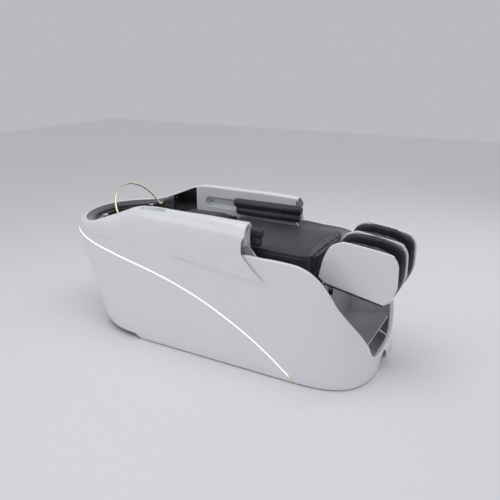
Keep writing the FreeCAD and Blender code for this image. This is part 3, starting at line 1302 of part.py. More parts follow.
feed_x = -size("ring_x")
inner_y = value_of(RAIL_Y) - 40
pump_z = value_of(RAIL_TOP) + 46
feed_top = value_of(LEDGE) - 70
feed = pipe([(-328, -90, pump_z + 43), (-328, -90, pump_z + 120), (-328, -inner_y, pump_z + 120),
             (feed_x + 60, -inner_y, pump_z + 120), (feed_x + 60, -inner_y, feed_top),
             (feed_x + 60, -inner_y - 20, feed_top), (feed_x, -inner_y - 20, feed_top)], 7, 9)
keep(feature("FeedPipe", feed), "ring_feed_pipe")


INLET_HEIGHT = 92.0


def mains_inlet():
    """Appliance inlet low on the head end, seated on the shell's outer face."""
    face_x = body_point(0.0, INLET_HEIGHT - 20).x
    frame_box = Part.makeBox(40, 50, 34, Vector(face_x - 12, -25, INLET_HEIGHT - 17))
    recess = Part.makeBox(16, 26, 20, Vector(face_x - 13, -13, INLET_HEIGHT - 10))
    blades = [Part.makeBox(13, 2, 6, Vector(face_x - 8, y - 1, INLET_HEIGHT - 3)) for y in (-7, 0, 7)]
    inlet = frame_box.cut(recess).fuse(blades)
    return inlet.cut(both_sides(body_solid(0.0)))


keep(feature("MainsInlet", mains_inlet()), "mains_inlet")


def shell_brackets():
    """Angle brackets from the floor rails out to the inner face of each side shell."""
    rail_side = value_of(RAIL_Y) + size("rail_tube") / 2
    low = value_of(RAIL_LOW)
    pieces = []
    for x in (-560, -200, 160, 500):
        foot = Part.makeBox(30, 300, 4, Vector(x, rail_side, low + 6))
        upstand = Part.makeBox(30, 4, 30, Vector(x, rail_side, low + 6))
        pieces.append(foot.fuse(upstand).common(body_solid(-wall)))
    return Part.makeCompound([piece.Solids[0] for piece in pieces])


left_brackets = feature("LeftBrackets", shell_brackets())
keep(group("ShellBrackets", [left_brackets, mirrored("RightBrackets", left_brackets)]), "shell_brackets")

# ---------------------------------------------------------------- check and write

doc.recompute()
broken = [obj.Label for obj in doc.Objects if "Invalid" in obj.State or "Error" in obj.State]
if broken:
    raise RuntimeError(f"these could not be rebuilt: {broken}")
labels = [piece.Label for piece in parts]
if len(set(labels)) != len(labels):
    raise RuntimeError("two sub-parts share a name")
unsound = [piece.Label for piece in parts
           if piece.Shape.isNull() or not piece.Shape.isValid() or not piece.Shape.Solids
           or piece.Shape.Volume <= 0]
if unsound:
    raise RuntimeError(f"these are not valid solids: {unsound}")
os.makedirs("parts", exist_ok=True)
for piece in parts:
    piece.Shape.exportStep(os.path.join("parts", f"{piece.Label}.step"))
print(len(parts), "sub-parts written")
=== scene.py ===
"""Looks of the lie-flat head-spa backwash bed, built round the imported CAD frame.

Metres throughout.  X runs along the bed (feet at +X), the client's right is -Y, Z is up.
"""
import math
import random

import bmesh
import bpy
from mathutils import Matrix, Vector


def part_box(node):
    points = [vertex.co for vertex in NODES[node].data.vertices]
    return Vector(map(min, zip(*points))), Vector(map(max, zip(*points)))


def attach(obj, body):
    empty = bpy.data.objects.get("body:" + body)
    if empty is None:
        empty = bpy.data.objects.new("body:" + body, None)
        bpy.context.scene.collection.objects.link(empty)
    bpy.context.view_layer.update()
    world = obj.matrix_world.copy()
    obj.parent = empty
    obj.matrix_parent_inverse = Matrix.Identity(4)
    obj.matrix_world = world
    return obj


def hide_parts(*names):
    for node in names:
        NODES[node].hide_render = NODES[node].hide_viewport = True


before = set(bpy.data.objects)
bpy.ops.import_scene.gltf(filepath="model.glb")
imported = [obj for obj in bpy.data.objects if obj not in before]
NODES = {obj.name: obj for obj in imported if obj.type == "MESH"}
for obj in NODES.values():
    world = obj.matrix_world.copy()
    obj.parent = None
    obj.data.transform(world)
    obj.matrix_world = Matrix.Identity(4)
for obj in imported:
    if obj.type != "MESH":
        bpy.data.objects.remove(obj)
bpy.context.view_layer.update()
scene = bpy.context.scene
MM = 0.001


def corner(node, axis, high):
    """One coordinate of a CAD node's box: axis 0, 1 or 2, its low or high side."""
    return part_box(node)[1 if high else 0][axis]


# ------------------------------------------------------------------ materials

def new_material(name):
    """Empty node material with a Principled shader; returns (material, nodes, links, shader)."""
    material = bpy.data.materials.new(name)
    material.use_nodes = True
    tree = material.node_tree
    shader = tree.nodes["Principled BSDF"]
    return material, tree.nodes, tree.links, shader


def coordinates(nodes, links, scale):
    """Object coordinates through a mapping of one scale on each axis."""
    source = nodes.new("ShaderNodeTexCoord")
    mapping = nodes.new("ShaderNodeMapping")
    mapping.inputs["Scale"].default_value = scale
    links.new(source.outputs["Object"], mapping.inputs["Vector"])
    return mapping.outputs["Vector"]


def noise(nodes, links, vector, scale, detail=3.0, rough=0.5):
    texture = nodes.new("ShaderNodeTexNoise")
    texture.inputs["Scale"].default_value = scale
    texture.inputs["Detail"].default_value = detail
    texture.inputs["Roughness"].default_value = rough
    links.new(vector, texture.inputs["Vector"])
    return texture.outputs["Fac"]


def ramp(nodes, links, fac, stops):
    """Colour ramp from (position, rgb) stops."""
    node = nodes.new("ShaderNodeValToRGB")
    elements = node.color_ramp.elements
    while len(elements) < len(stops):
        elements.new(0.5)
    for element, (position, colour) in zip(elements, stops):
        element.position = position
        element.color = (*colour, 1.0)
    links.new(fac, node.inputs["Fac"])
    return node.outputs["Color"]


def span(nodes, links, fac, low, high):
    """Map a 0..1 value onto a range."""
    node = nodes.new("ShaderNodeMapRange")
    node.inputs["To Min"].default_value = low
    node.inputs["To Max"].default_value = high
    links.new(fac, node.inputs["Value"])
    return node.outputs["Result"]


def bump(nodes, links, shader, height, strength, distance, chain=None):
    node = nodes.new("ShaderNodeBump")
    node.inputs["Strength"].default_value = strength
    node.inputs["Distance"].default_value = distance
    links.new(height, node.inputs["Height"])
    if chain is not None:
        links.new(chain, node.inputs["Normal"])
    links.new(node.outputs["Normal"], shader.inputs["Normal"])
    return node.outputs["Normal"]


def gelcoat(name, light, shade, rough=(0.16, 0.26), coat=0.6):
    """Glossy moulded FRP: faint clouding, long soft waviness and a clear coat."""
    material, nodes, links, shader = new_material(name)
    vector = coordinates(nodes, links, (1, 1, 1))
    cloud = noise(nodes, links, vector, 5.0, 3.0)
    links.new(ramp(nodes, links, cloud, [(0.3, shade), (0.75, light)]), shader.inputs["Base Color"])
    smear = noise(nodes, links, vector, 38.0, 4.0)
    links.new(span(nodes, links, smear, *rough), shader.inputs["Roughness"])
    shader.inputs["Coat Weight"].default_value = coat
    shader.inputs["Coat Roughness"].default_value = 0.07
    peel = noise(nodes, links, vector, 420.0, 2.0)
    wave = noise(nodes, links, vector, 9.0, 1.0)
    first = bump(nodes, links, shader, wave, 0.10, 0.004)
    bump(nodes, links, shader, peel, 0.05, 0.0003, first)
    return material


def leather(name, dark, light, rough=(0.36, 0.5), grain=560.0, creases=0.35):
    """Upholstery leather: pebbled grain, soft creasing, cloudy sheen."""
    material, nodes, links, shader = new_material(name)
    vector = coordinates(nodes, links, (1, 1, 1))
    cloud = noise(nodes, links, vector, 7.0, 4.0)
    links.new(ramp(nodes, links, cloud, [(0.3, dark), (0.72, light)]), shader.inputs["Base Color"])
    wear = noise(nodes, links, vector, 45.0, 5.0, 0.6)
    links.new(span(nodes, links, wear, *rough), shader.inputs["Roughness"])
    shader.inputs["Specular IOR Level"].default_value = 0.55
    shader.inputs["Sheen Weight"].default_value = 0.12
    shader.inputs["Sheen Roughness"].default_value = 0.4
    cells = nodes.new("ShaderNodeTexVoronoi")
    cells.feature = "DISTANCE_TO_EDGE"
    cells.inputs["Scale"].default_value = grain
    warp = nodes.new("ShaderNodeVectorMath")
    warp.operation = "ADD"
    ripple = nodes.new("ShaderNodeTexNoise")
    ripple.inputs["Scale"].default_value = grain * 0.4
    shift = nodes.new("ShaderNodeVectorMath")
    shift.operation = "SCALE"
    shift.inputs["Scale"].default_value = 0.0022
    links.new(vector, ripple.inputs["Vector"])
    links.new(ripple.outputs["Color"], shift.inputs[0])
    links.new(vector, warp.inputs[0])
    links.new(shift.outputs["Vector"], warp.inputs[1])
    links.new(warp.outputs["Vector"], cells.inputs["Vector"])
    plump = span(nodes, links, cells.outputs["Distance"], 0.0, 1.0)
    crease = noise(nodes, links, vector, 60.0, 6.0, 0.62)
    first = bump(nodes, links, shader, crease, creases, 0.0012)
    bump(nodes, links, shader, plump, 0.4, 0.0004, first)
    return material


def gloss_black(name, speckle=0.0):
    """Deep black gloss acrylic, optionally with fine pale speckle in a hammered face."""
    material, nodes, links, shader = new_material(name)
    vector = coordinates(nodes, links, (1, 1, 1))
    grit = noise(nodes, links, vector, 260.0, 6.0, 0.75)
    if speckle:
        links.new(ramp(nodes, links, grit, [(0.42, (0.012, 0.013, 0.016)), (0.56, (0.07, 0.075, 0.085)),
                                            (0.66, (speckle, speckle, speckle * 1.04))]),
                  shader.inputs["Base Color"])
    else:
        cloud = noise(nodes, links, vector, 6.0, 3.0)
        links.new(ramp(nodes, links, cloud, [(0.3, (0.006, 0.006, 0.008)), (0.8, (0.016, 0.017, 0.02))]),
                  shader.inputs["Base Color"])
    haze = noise(nodes, links, vector, 30.0, 4.0)
    links.new(span(nodes, links, haze, 0.08, 0.2), shader.inputs["Roughness"])
    shader.inputs["Coat Weight"].default_value = 0.8
    shader.inputs["Coat Roughness"].default_value = 0.05
    wave = noise(nodes, links, vector, 14.0 if not speckle else 120.0, 2.0)
    bump(nodes, links, shader, wave, 0.12 if not speckle else 0.3, 0.003 if not speckle else 0.0008)
    return material


def plain_finish(name, colour, rough, metal=0.0, grain=300.0, depth=0.15, stretch=(1, 1, 1), vary=0.12):
    """Simple moulded or metal finish with its own grain, tone variation and roughness."""
    material, nodes, links, shader = new_material(name)
    vector = coordinates(nodes, links, stretch)
    tone = noise(nodes, links, vector, 22.0, 4.0)
    low = tuple(channel * (1 - vary) for channel in colour)
    high = tuple(min(1.0, channel * (1 + vary)) for channel in colour)
    links.new(ramp(nodes, links, tone, [(0.3, low), (0.7, high)]), shader.inputs["Base Color"])
    fine = noise(nodes, links, vector, grain, 4.0)
    links.new(span(nodes, links, fine, rough * 0.8, rough * 1.2), shader.inputs["Roughness"])
    shader.inputs["Metallic"].default_value = metal
    bump(nodes, links, shader, fine, depth, 0.0004)
    return material


def wood_finish(name):
    """Birch plywood: stretched grain rings."""
    material, nodes, links, shader = new_material(name)
    vector = coordinates(nodes, links, (1.0, 14.0, 60.0))
    grain = noise(nodes, links, vector, 6.0, 8.0, 0.6)
    links.new(ramp(nodes, links, grain, [(0.3, (0.42, 0.28, 0.15)), (0.7, (0.70, 0.53, 0.33))]),
              shader.inputs["Base Color"])
    shader.inputs["Roughness"].default_value = 0.6
    bump(nodes, links, shader, grain, 0.2, 0.0005)
    return material


def lit_lens(name, colour, strength):
    """Lit diffuser: warm light, a little uneven from lamp to lamp."""
    material, nodes, links, shader = new_material(name)
    vector = coordinates(nodes, links, (1, 1, 1))
    lamps = noise(nodes, links, vector, 60.0, 2.0)
    pale = tuple(min(1.0, channel * 1.05) for channel in colour)
    shades = ramp(nodes, links, lamps, [(0.35, tuple(c * 0.93 for c in colour)), (0.65, pale)])
    links.new(shades, shader.inputs["Base Color"])
    links.new(shades, shader.inputs["Emission Color"])
    shader.inputs["Emission Strength"].default_value = strength
    shader.inputs["Roughness"].default_value = 0.35
    return material


WHITE = gelcoat("white_gelcoat", (0.87, 0.875, 0.89), (0.84, 0.845, 0.862))
LINER_WHITE = gelcoat("white_liner", (0.83, 0.84, 0.86), (0.80, 0.81, 0.83), (0.3, 0.4), 0.2)
# Foot-well liner coloured mid grey: painted shade for the shadow inside the well, over what is white gelcoat.
WELL_PAINTED_SHADE = gelcoat("well_liner", (0.62, 0.63, 0.64), (0.58, 0.59, 0.60), (0.4, 0.5), 0.1)
LEATHER = leather("black_leather", (0.018, 0.020, 0.026), (0.034, 0.037, 0.046))
LEATHER_SIDE = leather("black_leather_side", (0.012, 0.013, 0.017), (0.024, 0.026, 0.032),
                       (0.42, 0.55), 560.0, 0.6)
THREAD = plain_finish("seam_thread", (0.03, 0.032, 0.038), 0.6, 0.0, 1500.0, 0.5)
BLACK_GLOSS = gloss_black("black_gloss")
SPECKLE = gloss_black("speckled_rim", 0.32)
GEL = plain_finish("neck_gel", (0.02, 0.021, 0.024), 0.42, 0.0, 240.0, 0.1)
BLACK_SATIN = plain_finish("black_satin", (0.03, 0.031, 0.034), 0.5)
GOLD = plain_finish("champagne_gold", (0.86, 0.76, 0.55), 0.22, 1.0, 500.0, 0.05, (1, 1, 1), 0.05)
CHROME = plain_finish("polished_chrome", (0.82, 0.83, 0.85), 0.1, 1.0, 300.0, 0.03, (1, 1, 1), 0.03)
STEEL = plain_finish("turned_steel", (0.60, 0.61, 0.63), 0.3, 1.0, 400.0, 0.1, (30, 1, 1))
POWDER = plain_finish("powder_coat", (0.05, 0.051, 0.055), 0.55, 0.0, 900.0, 0.4)
HOUSING = plain_finish("grey_housing", (0.30, 0.31, 0.33), 0.5)
PIPE = plain_finish("white_pipe", (0.72, 0.73, 0.75), 0.4)
RUBBER = plain_finish("foot_rubber", (0.035, 0.035, 0.036), 0.8, 0.0, 700.0, 0.4)
PLYWOOD = wood_finish("birch_plywood")
KEY_FACE = plain_finish("key_face", (0.66, 0.69, 0.73), 0.3)
WINDOW = plain_finish("display_window", (0.30, 0.345, 0.40), 0.12)
PLATE = plain_finish("panel_plate", (0.74, 0.755, 0.78), 0.25)
LIGHT = lit_lens("light_lens", (1.0, 0.90, 0.70), 1.1)
AMBER = plain_finish("light_cap", (0.93, 0.82, 0.55), 0.3, 0.4)

NODE_MATERIALS = {
    STEEL: ("pad_slide_rails", "hinge_pins", "back_lift_rod", "calf_lift_rod", "left_pad_carriage",
            "right_pad_carriage"),
    POWDER: ("floor_rails", "frame_cross_members", "frame_uprights", "seat_rails", "basin_supports",
             "hinge_brackets", "backrest_hinge_plates", "shell_brackets"),
    HOUSING: ("back_lift_motor", "calf_lift_motor", "circulation_pump", "power_supply_box",
              "water_reservoir"),
    PLYWOOD: ("seat_board", "backrest_board"),
    PIPE: ("drain_trap", "ring_feed_pipe"),
    RUBBER: ("levelling_feet",),
    BLACK_SATIN: ("calf_rest_tray", "side_decks", "mixer_plate", "mains_inlet"),
    CHROME: ("drain_strainer", "mixer_knob"),
    GOLD: ("ring_pivot_blocks", "water_ring"),
    KEY_FACE: ("pump_button", "light_button", "warmth_button", "massage_button"),
    WINDOW: ("display_window",),
    PLATE: ("control_panel",),
    # The foot-well liner takes the painted-shade grey.
    WELL_PAINTED_SHADE: ("foot_well_liner",),
    LINER_WHITE: ("left_inner_panel", "right_inner_panel"),
    BLACK_GLOSS: ("wash_basin", "basin_surround"),
    WHITE: ("left_side_shell", "right_side_shell", "left_armrest_cover", "right_armrest_cover",
            "left_calf_panel", "right_calf_panel", "middle_calf_panel"),
    LEATHER: ("seat_cushion", "back_cushion", "left_arm_pad", "right_arm_pad", "left_calf_cushion",
              "right_calf_cushion"),
    GEL: ("neck_rest",),
    LIGHT: ("left_light_strip", "right_light_strip"),
    AMBER: ("light_end_caps",),
}
for material, names in NODE_MATERIALS.items():
    for name in names:
        mesh = NODES[name].data
        mesh.materials.clear()
        mesh.materials.append(material)


# ------------------------------------------------------------------ mesh helpers

def add_mesh(name, points, faces, material, smooth=True):
    mesh = bpy.data.meshes.new(name)
    mesh.from_pydata([tuple(p) for p in points], [], faces)
    mesh.materials.append(material)
    mesh.validate()
    piece = bpy.data.objects.new(name, mesh)
    scene.collection.objects.link(piece)
    for polygon in mesh.polygons:
        polygon.use_smooth = smooth
    return piece


def grid_piece(name, rows, material, wrap=False):
    """Surface through equal rows of points; wrap joins each row's end to its start."""
    width = len(rows[0])
    points = [p for row in rows for p in row]
    faces = []
    for r in range(len(rows) - 1):
        for c in range(width if wrap else width - 1):
            d = (c + 1) % width
            faces.append((r * width + c, r * width + d, (r + 1) * width + d, (r + 1) * width + c))
    return add_mesh(name, points, faces, material)


def apply_modifiers(piece):
    """Bake the modifier stack into the mesh."""
    bpy.context.view_layer.update()
    graph = bpy.context.evaluated_depsgraph_get()
    baked = bpy.data.meshes.new_from_object(piece.evaluated_get(graph))
    old = piece.data
    piece.modifiers.clear()
    piece.data = baked
    bpy.data.meshes.remove(old)
    return piece


def modify(piece, kind, **settings):
    modifier = piece.modifiers.new(kind.title(), kind)
    for key, value in settings.items():
        setattr(modifier, key, value)
    return modifier


def thicken(piece, thickness, bevel=0.0012, segments=3):
    modify(piece, "SOLIDIFY", thickness=thickness, offset=-1.0, use_even_offset=True)
    if bevel:
        modify(piece, "BEVEL", width=bevel, segments=segments, limit_method="ANGLE",
               angle_limit=math.radians(40))
    apply_modifiers(piece)
    smooth_all(piece)
    return piece


def smooth_all(piece, angle=None):
    for polygon in piece.data.polygons:
        polygon.use_smooth = True
    if angle is not None:
        for edge in piece.data.edges:
            edge.use_edge_sharp = False
        mesh = bmesh.new()
        mesh.from_mesh(piece.data)
        for edge in mesh.edges:
            if len(edge.link_faces) == 2 and edge.calc_face_angle(0) > math.radians(angle):
                edge.smooth = False
        mesh.to_mesh(piece.data)
        mesh.free()


def mirror_copy(piece, name):
    """Left-right mirror of a piece, with its faces turned the right way again."""
    twin = piece.copy()
    twin.data = piece.data.copy()
    twin.name = name
    twin.data.name = name
    scene.collection.objects.link(twin)
    twin.data.transform(Matrix.Scale(-1, 4, Vector((0, 1, 0))))
    twin.data.flip_normals()
    return twin


def tube(name, points, radius, material, closed=False, sides=3, smooth=True):
    """Round tube along points, as a bevelled curve turned into a mesh."""
    curve = bpy.data.curves.new(name, "CURVE")
    curve.dimensions = "3D"
    curve.bevel_depth = radius
    curve.bevel_resolution = sides
    curve.use_fill_caps = True
    spline = curve.splines.new("NURBS" if smooth else "POLY")
    spline.points.add(len(points) - 1)
    for target, point in zip(spline.points, points):
        target.co = (*point, 1.0)
    spline.use_cyclic_u = closed
    if smooth:
        spline.order_u = 4
        spline.use_endpoint_u = not closed
    holder = bpy.data.objects.new(name, curve)
    scene.collection.objects.link(holder)
    bpy.context.view_layer.update()
    mesh = bpy.data.meshes.new_from_object(holder.evaluated_get(bpy.context.evaluated_depsgraph_get()))
    bpy.data.objects.remove(holder)
    bpy.data.curves.remove(curve)
    mesh.materials.clear()
    mesh.materials.append(material)
    piece = bpy.data.objects.new(name, mesh)
    scene.collection.objects.link(piece)
    for polygon in mesh.polygons:
        polygon.use_smooth = True
    return piece


def join(name, pieces):
    """One mesh object out of several, keeping their materials."""
    target = bmesh.new()
    materials = []
    for piece in pieces:
        for material in piece.data.materials:
            if material not in materials:
                materials.append(material)
    for piece in pieces:
        lookup = [materials.index(material) for material in piece.data.materials]
        start = len(target.faces)
        target.from_mesh(piece.data)
        target.faces.ensure_lookup_table()
        for face in target.faces[start:]:
            face.material_index = lookup[min(face.material_index, len(lookup) - 1)]
    mesh = bpy.data.meshes.new(name)
    target.to_mesh(mesh)
    target.free()
    for material in materials:
        mesh.materials.append(material)
    for piece in pieces:
        old = piece.data
        bpy.data.objects.remove(piece)
        bpy.data.meshes.remove(old)
    piece = bpy.data.objects.new(name, mesh)
    scene.collection.objects.link(piece)
    return piece


def stand_for(piece, node, body):
    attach(piece, body)
    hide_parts(node)


# ------------------------------------------------------------------ form of the body

HALF_WIDTH = 0.405
HEAD_REACH = -corner("left_side_shell", 0, False)
NOSE_REACH = corner("left_side_shell", 0, True)
FLOOR_GAP = 0.006
LEVELS = [
    (0, 0.005, 0.237), (0.055, 0, 0.190), (0.130, 0.002, 0.158), (0.230, 0.008, 0.128),
    (0.350, 0.017, 0.071), (0.430, 0.024, 0.024), (0.500, 0.033, 0.003), (0.560, 0.040, 0),
    (0.620, 0.045, 0.006),
]
CREST_LINE = [
    (-0.972, 0.621), (-0.860, 0.618), (-0.790, 0.620), (-0.740, 0.627), (-0.680, 0.644),
    (-0.600, 0.674), (-0.500, 0.715), (-0.420, 0.745), (-0.360, 0.756), (-0.200, 0.757), (0, 0.757),
    (0.150, 0.754), (0.290, 0.744), (0.420, 0.730),
]
CREASE_LINE = [
    (-0.990, 0.572), (-0.900, 0.572), (-0.750, 0.568), (-0.600, 0.566), (-0.400, 0.560),
    (-0.200, 0.545), (0, 0.525), (0.200, 0.508), (0.420, 0.496),
]
LIGHT_LINE = [
    (-0.990, 0.560), (-0.900, 0.556), (-0.760, 0.528), (-0.666, 0.508), (-0.497, 0.470),
    (-0.258, 0.420), (-0.102, 0.378), (0.044, 0.328), (0.185, 0.266), (0.323, 0.196),
    (0.455, 0.112), (0.561, 0.030),
]
SHOULDER_LINE = [
    (0.300, 0.610), (0.400, 0.606), (0.500, 0.603), (0.560, 0.598), (0.620, 0.580), (0.670, 0.550),
    (0.710, 0.512), (0.740, 0.474), (0.772, 0.424), (0.808, 0.378), (0.861, 0.296), (0.893, 0.209),
    (0.905, 0.130), (0.912, 0.092),
]
WING_END = [(0.276, 0.790), (0.278, 0.743), (0.283, 0.705), (0.270, 0.677), (0.273, 0.620),
            (0.302, 0.583), (0.400, 0.494), (0.440, 0.455)]
NOSE_CREASE = [(0.030, 0.640), (0.110, 0.628), (0.200, 0.595), (0.300, 0.560), (0.380, 0.500),
               (0.450, 0.425), (0.500, 0.392)]
HEAD_CURVE, HEAD_POWER = 0.420, 2.6
FOOT_CURVE, FOOT_POWER = 0.420, 3.5
CREST_CURVE, CREST_FLARE, FLARE_RUN = 0.267, 0.032, 0.127
CREST_HALF = 0.280
CREST_HEAD = -HEAD_REACH + 0.026
HEAD_TURN, FOOT_TURN = 0.35, 0.65
WING_OVERHANG = 0.019
WING_TURN = 0.4
CREST_END, WING_FOOT_END = 0.330, 0.430
ARCH_RADIUS = 0.072
SEAM_HALF = 0.0006
SHELL_SKIN, WING_SKIN = 0.004, 0.0045


def smooth(line, x):
    """Smooth curve through the points of a line, without overshoot."""
    if x <= line[0][0]:
        return line[0][1]
    if x >= line[-1][0]:
        return line[-1][1]
    spans = [(b[1] - a[1]) / (b[0] - a[0]) for a, b in zip(line, line[1:])]
    slopes = [spans[0]]
    for before, after in zip(spans, spans[1:]):
        slopes.append(2 * before * after / (before + after) if before * after > 0 else 0.0)
    slopes.append(spans[-1])
    index = max(i for i in range(len(line) - 1) if line[i][0] <= x)
    (x0, y0), (x1, y1) = line[index], line[index + 1]
    step = x1 - x0
    t = (x - x0) / step
    return ((1 + 2 * t) * (1 - t) ** 2 * y0 + t * (1 - t) ** 2 * step * slopes[index]
            + t * t * (3 - 2 * t) * y1 - t * t * (1 - t) * step * slopes[index + 1])


SIDE_INSET = [(z, side) for z, side, end in LEVELS]
HEAD_INSET = [(z, end) for z, side, end in LEVELS]


def body_point(share, height, offset=0.0):
    """Point of the left side: share 0 is the head end's middle, 1 the foot end's middle."""
    half = HALF_WIDTH - smooth(SIDE_INSET, height) + offset
    head = -HEAD_REACH + smooth(HEAD_INSET, height) - offset
    foot = NOSE_REACH + offset
    if share < HEAD_TURN:
        angle = math.pi / 2 * share / HEAD_TURN
        reach = HEAD_CURVE + offset
        return Vector((head + reach * (1 - abs(math.cos(angle)) ** (2 / HEAD_POWER)),
                       half * math.sin(angle) ** (2 / HEAD_POWER), height))
    if share > FOOT_TURN:
        angle = math.pi / 2 * (1 - share) / (1 - FOOT_TURN)
        reach = FOOT_CURVE + offset
        return Vector((foot - reach * (1 - abs(math.cos(angle)) ** (2 / FOOT_POWER)),
                       half * max(0.0, math.sin(angle)) ** (2 / FOOT_POWER), height))
    along = (share - HEAD_TURN) / (FOOT_TURN - HEAD_TURN)
    return Vector(((head + HEAD_CURVE + offset) * (1 - along) + (foot - FOOT_CURVE - offset) * along,
                   half, height))


def on_line(share, line, start):
    """Height at which a line drawn in side view crosses the body at a share of its run."""
    height = start
    for attempt in range(40):
        height = 0.5 * height + 0.5 * smooth(line, body_point(share, height).x)
    return height


def ease(value, low, high):
    """0 below low, 1 above high, smooth between."""
    t = min(1.0, max(0.0, (value - low) / (high - low)))
    return t * t * (3 - 2 * t)


def relief(point):
    """How far the moulded side stands in from the plain body: negative swells outwards."""
    crease = smooth(CREASE_LINE, point.x)
    light = smooth(LIGHT_LINE, point.x)
    ahead = point.x - smooth(NOSE_CREASE, point.z)
    swell = 0.0
    if point.z > light:
        rise = min(1.0, (point.z - light) / max(0.02, crease - light))
        behind = 1 - ease(ahead, -0.02, 0.035)
        swell = 0.007 * math.sin(math.pi / 2 * rise ** 1.5) * behind * ease(point.x, -0.75, 0.05)
    return -swell


SHELL_TOP = [(x, z - 0.001) for x, z in CREASE_LINE if x <= 0.1] + SHOULDER_LINE


def inward(share, height):
    """Direction from the side straight into the body."""
    step = body_point(share, height, -0.001) - body_point(share, height)
    return step.normalized()


def shell_bottom(point_x, y):
    """Lower edge: raised at the head end, arched at the nose."""
    lift = 0.024 * (1 - ease(point_x, -0.432, -0.412))
    arch = 0.0
    if point_x > 0.8 and abs(y) < ARCH_RADIUS:
        arch = math.sqrt(max(0.0, ARCH_RADIUS ** 2 - y * y)) - FLOOR_GAP
    return FLOOR_GAP + lift + max(0.0, arch)


def shell_column(share):
    """Outer face from the lower edge to the top, a rounded shoulder, and the turned-in flange."""
    top = on_line(share, SHELL_TOP, 0.3)
    probe = body_point(share, 0.05)
    base = shell_bottom(probe.x, probe.y)
    roll = 0.007
    column = []
    rows = 46
    for index in range(rows):
        height = base + (top - roll - base) * index / (rows - 1)
        point = body_point(share, height)
        column.append(point + inward(share, height) * relief(point))
    top_in = relief(body_point(share, top - roll))
    edge = body_point(share, top - roll)
    push = inward(share, top - roll)
    for index in range(1, 7):
        angle = math.pi / 2 * index / 6
        column.append(edge + push * (top_in + roll * (1 - math.cos(angle)))
                      + Vector((0, 0, roll * math.sin(angle))))
    last = column[-1]
    for index in range(1, 5):
        column.append(last + push * (0.015 * index / 4) - Vector((0, 0, 0.0015 * (index / 4) ** 2)))
    return column


def shell_shares(count=170):
    """Stations, closer together where the plan turns."""
    even = [index / count for index in range(count + 1)]
    near_arch = [1 - 0.0008 * index for index in range(1, 12)]
    return sorted(set(even + near_arch))


def orient(piece, probe):
    """Turn a shell's faces so that they look away from a probe point inside it."""
    mesh = piece.data
    total = 0.0
    for polygon in mesh.polygons:
        total += polygon.normal.dot(polygon.center - probe) * polygon.area
    if total < 0:
        mesh.flip_normals()


def skin(name, columns, material, thickness, bevel=0.001, probe=Vector((0, 0, 0.4))):
    """Sheet through the columns, turned outwards and given a thickness."""
    piece = grid_piece(name, columns, material)
    orient(piece, probe)
    return thicken(piece, thickness, bevel, 2)


def side_shell():
    columns = [shell_column(share) for share in shell_shares()]
    for column in (columns[0], columns[-1]):
        for point in column:
            point.y = SEAM_HALF
    return skin("left_shell", columns, WHITE, SHELL_SKIN)


# ------------------------------------------------------------------ armrest covers

def crest_half_at(x):
    """Half width between the crests: wider round the bowl than along the cockpit."""
    bend = CREST_HEAD + CREST_CURVE
    return CREST_HALF + CREST_FLARE * (1 - ease(x, bend, bend + FLARE_RUN))


def crest_point(share):
    """Point of the left crest: share 0 is the head end, 1 the foot end of the cover."""
    side, turn = 0.32, WING_TURN
    bend = CREST_HEAD + CREST_CURVE
    if share < side:
        angle = math.pi / 2 * share / side
        x = CREST_HEAD + CREST_CURVE * (1 - math.cos(angle))
        y = crest_half_at(bend) * math.sin(angle)
    elif share < turn:
        x = bend + FLARE_RUN * (share - side) / (turn - side)
        y = crest_half_at(x)
    else:
        along = (share - turn) / (1 - turn)
        x = (bend + FLARE_RUN) * (1 - along) + CREST_END * along
        y = CREST_HALF
    return Vector((x, y, smooth(CREST_LINE, x)))


def wing_foot_point(share):
    """Point of the cover's lower edge beside the same share of the crest."""
    turn = WING_TURN
    height = smooth(CREASE_LINE, crest_point(share).x)
    half = HALF_WIDTH - smooth(SIDE_INSET, height)
    head = -HEAD_REACH + smooth(HEAD_INSET, height)
    proud = WING_OVERHANG * max(0.0, (share - turn) / (1 - turn)) ** 0.8
    if share < turn:
        angle = math.pi / 2 * share / turn
        x = head + HEAD_CURVE * (1 - abs(math.cos(angle)) ** (2 / HEAD_POWER))
        y = half * math.sin(angle) ** (2 / HEAD_POWER)
    else:
        along = (share - turn) / (1 - turn)
        x = (head + HEAD_CURVE) * (1 - along) + WING_FOOT_END * along
        y = half + proud
    return Vector((x, y, smooth(CREASE_LINE, x)))


def spline_through(points, count):
    """Evenly parameterised Catmull-Rom samples through 2-D points."""
    padded = [points[0]] + list(points) + [points[-1]]
    result = []
    spans = len(points) - 1
    for index in range(count):
        u = spans * index / (count - 1)
        k = min(int(u), spans - 1)
        t = u - k
        p0, p1, p2, p3 = padded[k:k + 4]
        result.append(tuple(
            0.5 * (2 * b + (c - a) * t + (2 * a - 5 * b + 4 * c - d) * t * t
                   + (3 * b - a - 3 * c + d) * t ** 3)
            for a, b, c, d in zip(p0, p1, p2, p3)))
    return result


def wing_column(share):
    """Section from just inside the crest, over the roll and down to a turned-under lower edge."""
    top = crest_point(share)
    foot = wing_foot_point(share)
    out = Vector((foot.x - top.x, foot.y - top.y, 0))
    reach = out.length
    out.normalize()
    drop = top.z - foot.z
    roll = min(0.006, drop * 0.15, reach * 0.08)
    shape = [(0.0, drop), (0.13 * reach, drop + roll * 0.8), (0.3 * reach, drop + roll),
             (0.55 * reach, drop * 0.955), (0.8 * reach, drop * 0.79), (0.94 * reach, drop * 0.5),
             (0.99 * reach, drop * 0.2), (reach, 0.0)]
    samples = spline_through(shape, 44)
    inner = [(0.0006, drop - 0.012), (0.0002, drop - 0.006)]
    under = min(1.0, max(0.0, (share - WING_TURN) / 0.3))
    hem = [(reach - 0.0012, -0.0022), (reach - 0.004 * under - 0.001, -0.0030),
           (reach - 0.010 * under - 0.0012, -0.0026)]
    return [foot - out * (reach - h) + Vector((0, 0, v)) for h, v in inner + samples + hem]


def wing_end_x(height):
    """Where the swept foot end of the cover lies at a height."""
    line = sorted((z, x) for x, z in WING_END)
    return smooth(line, height)


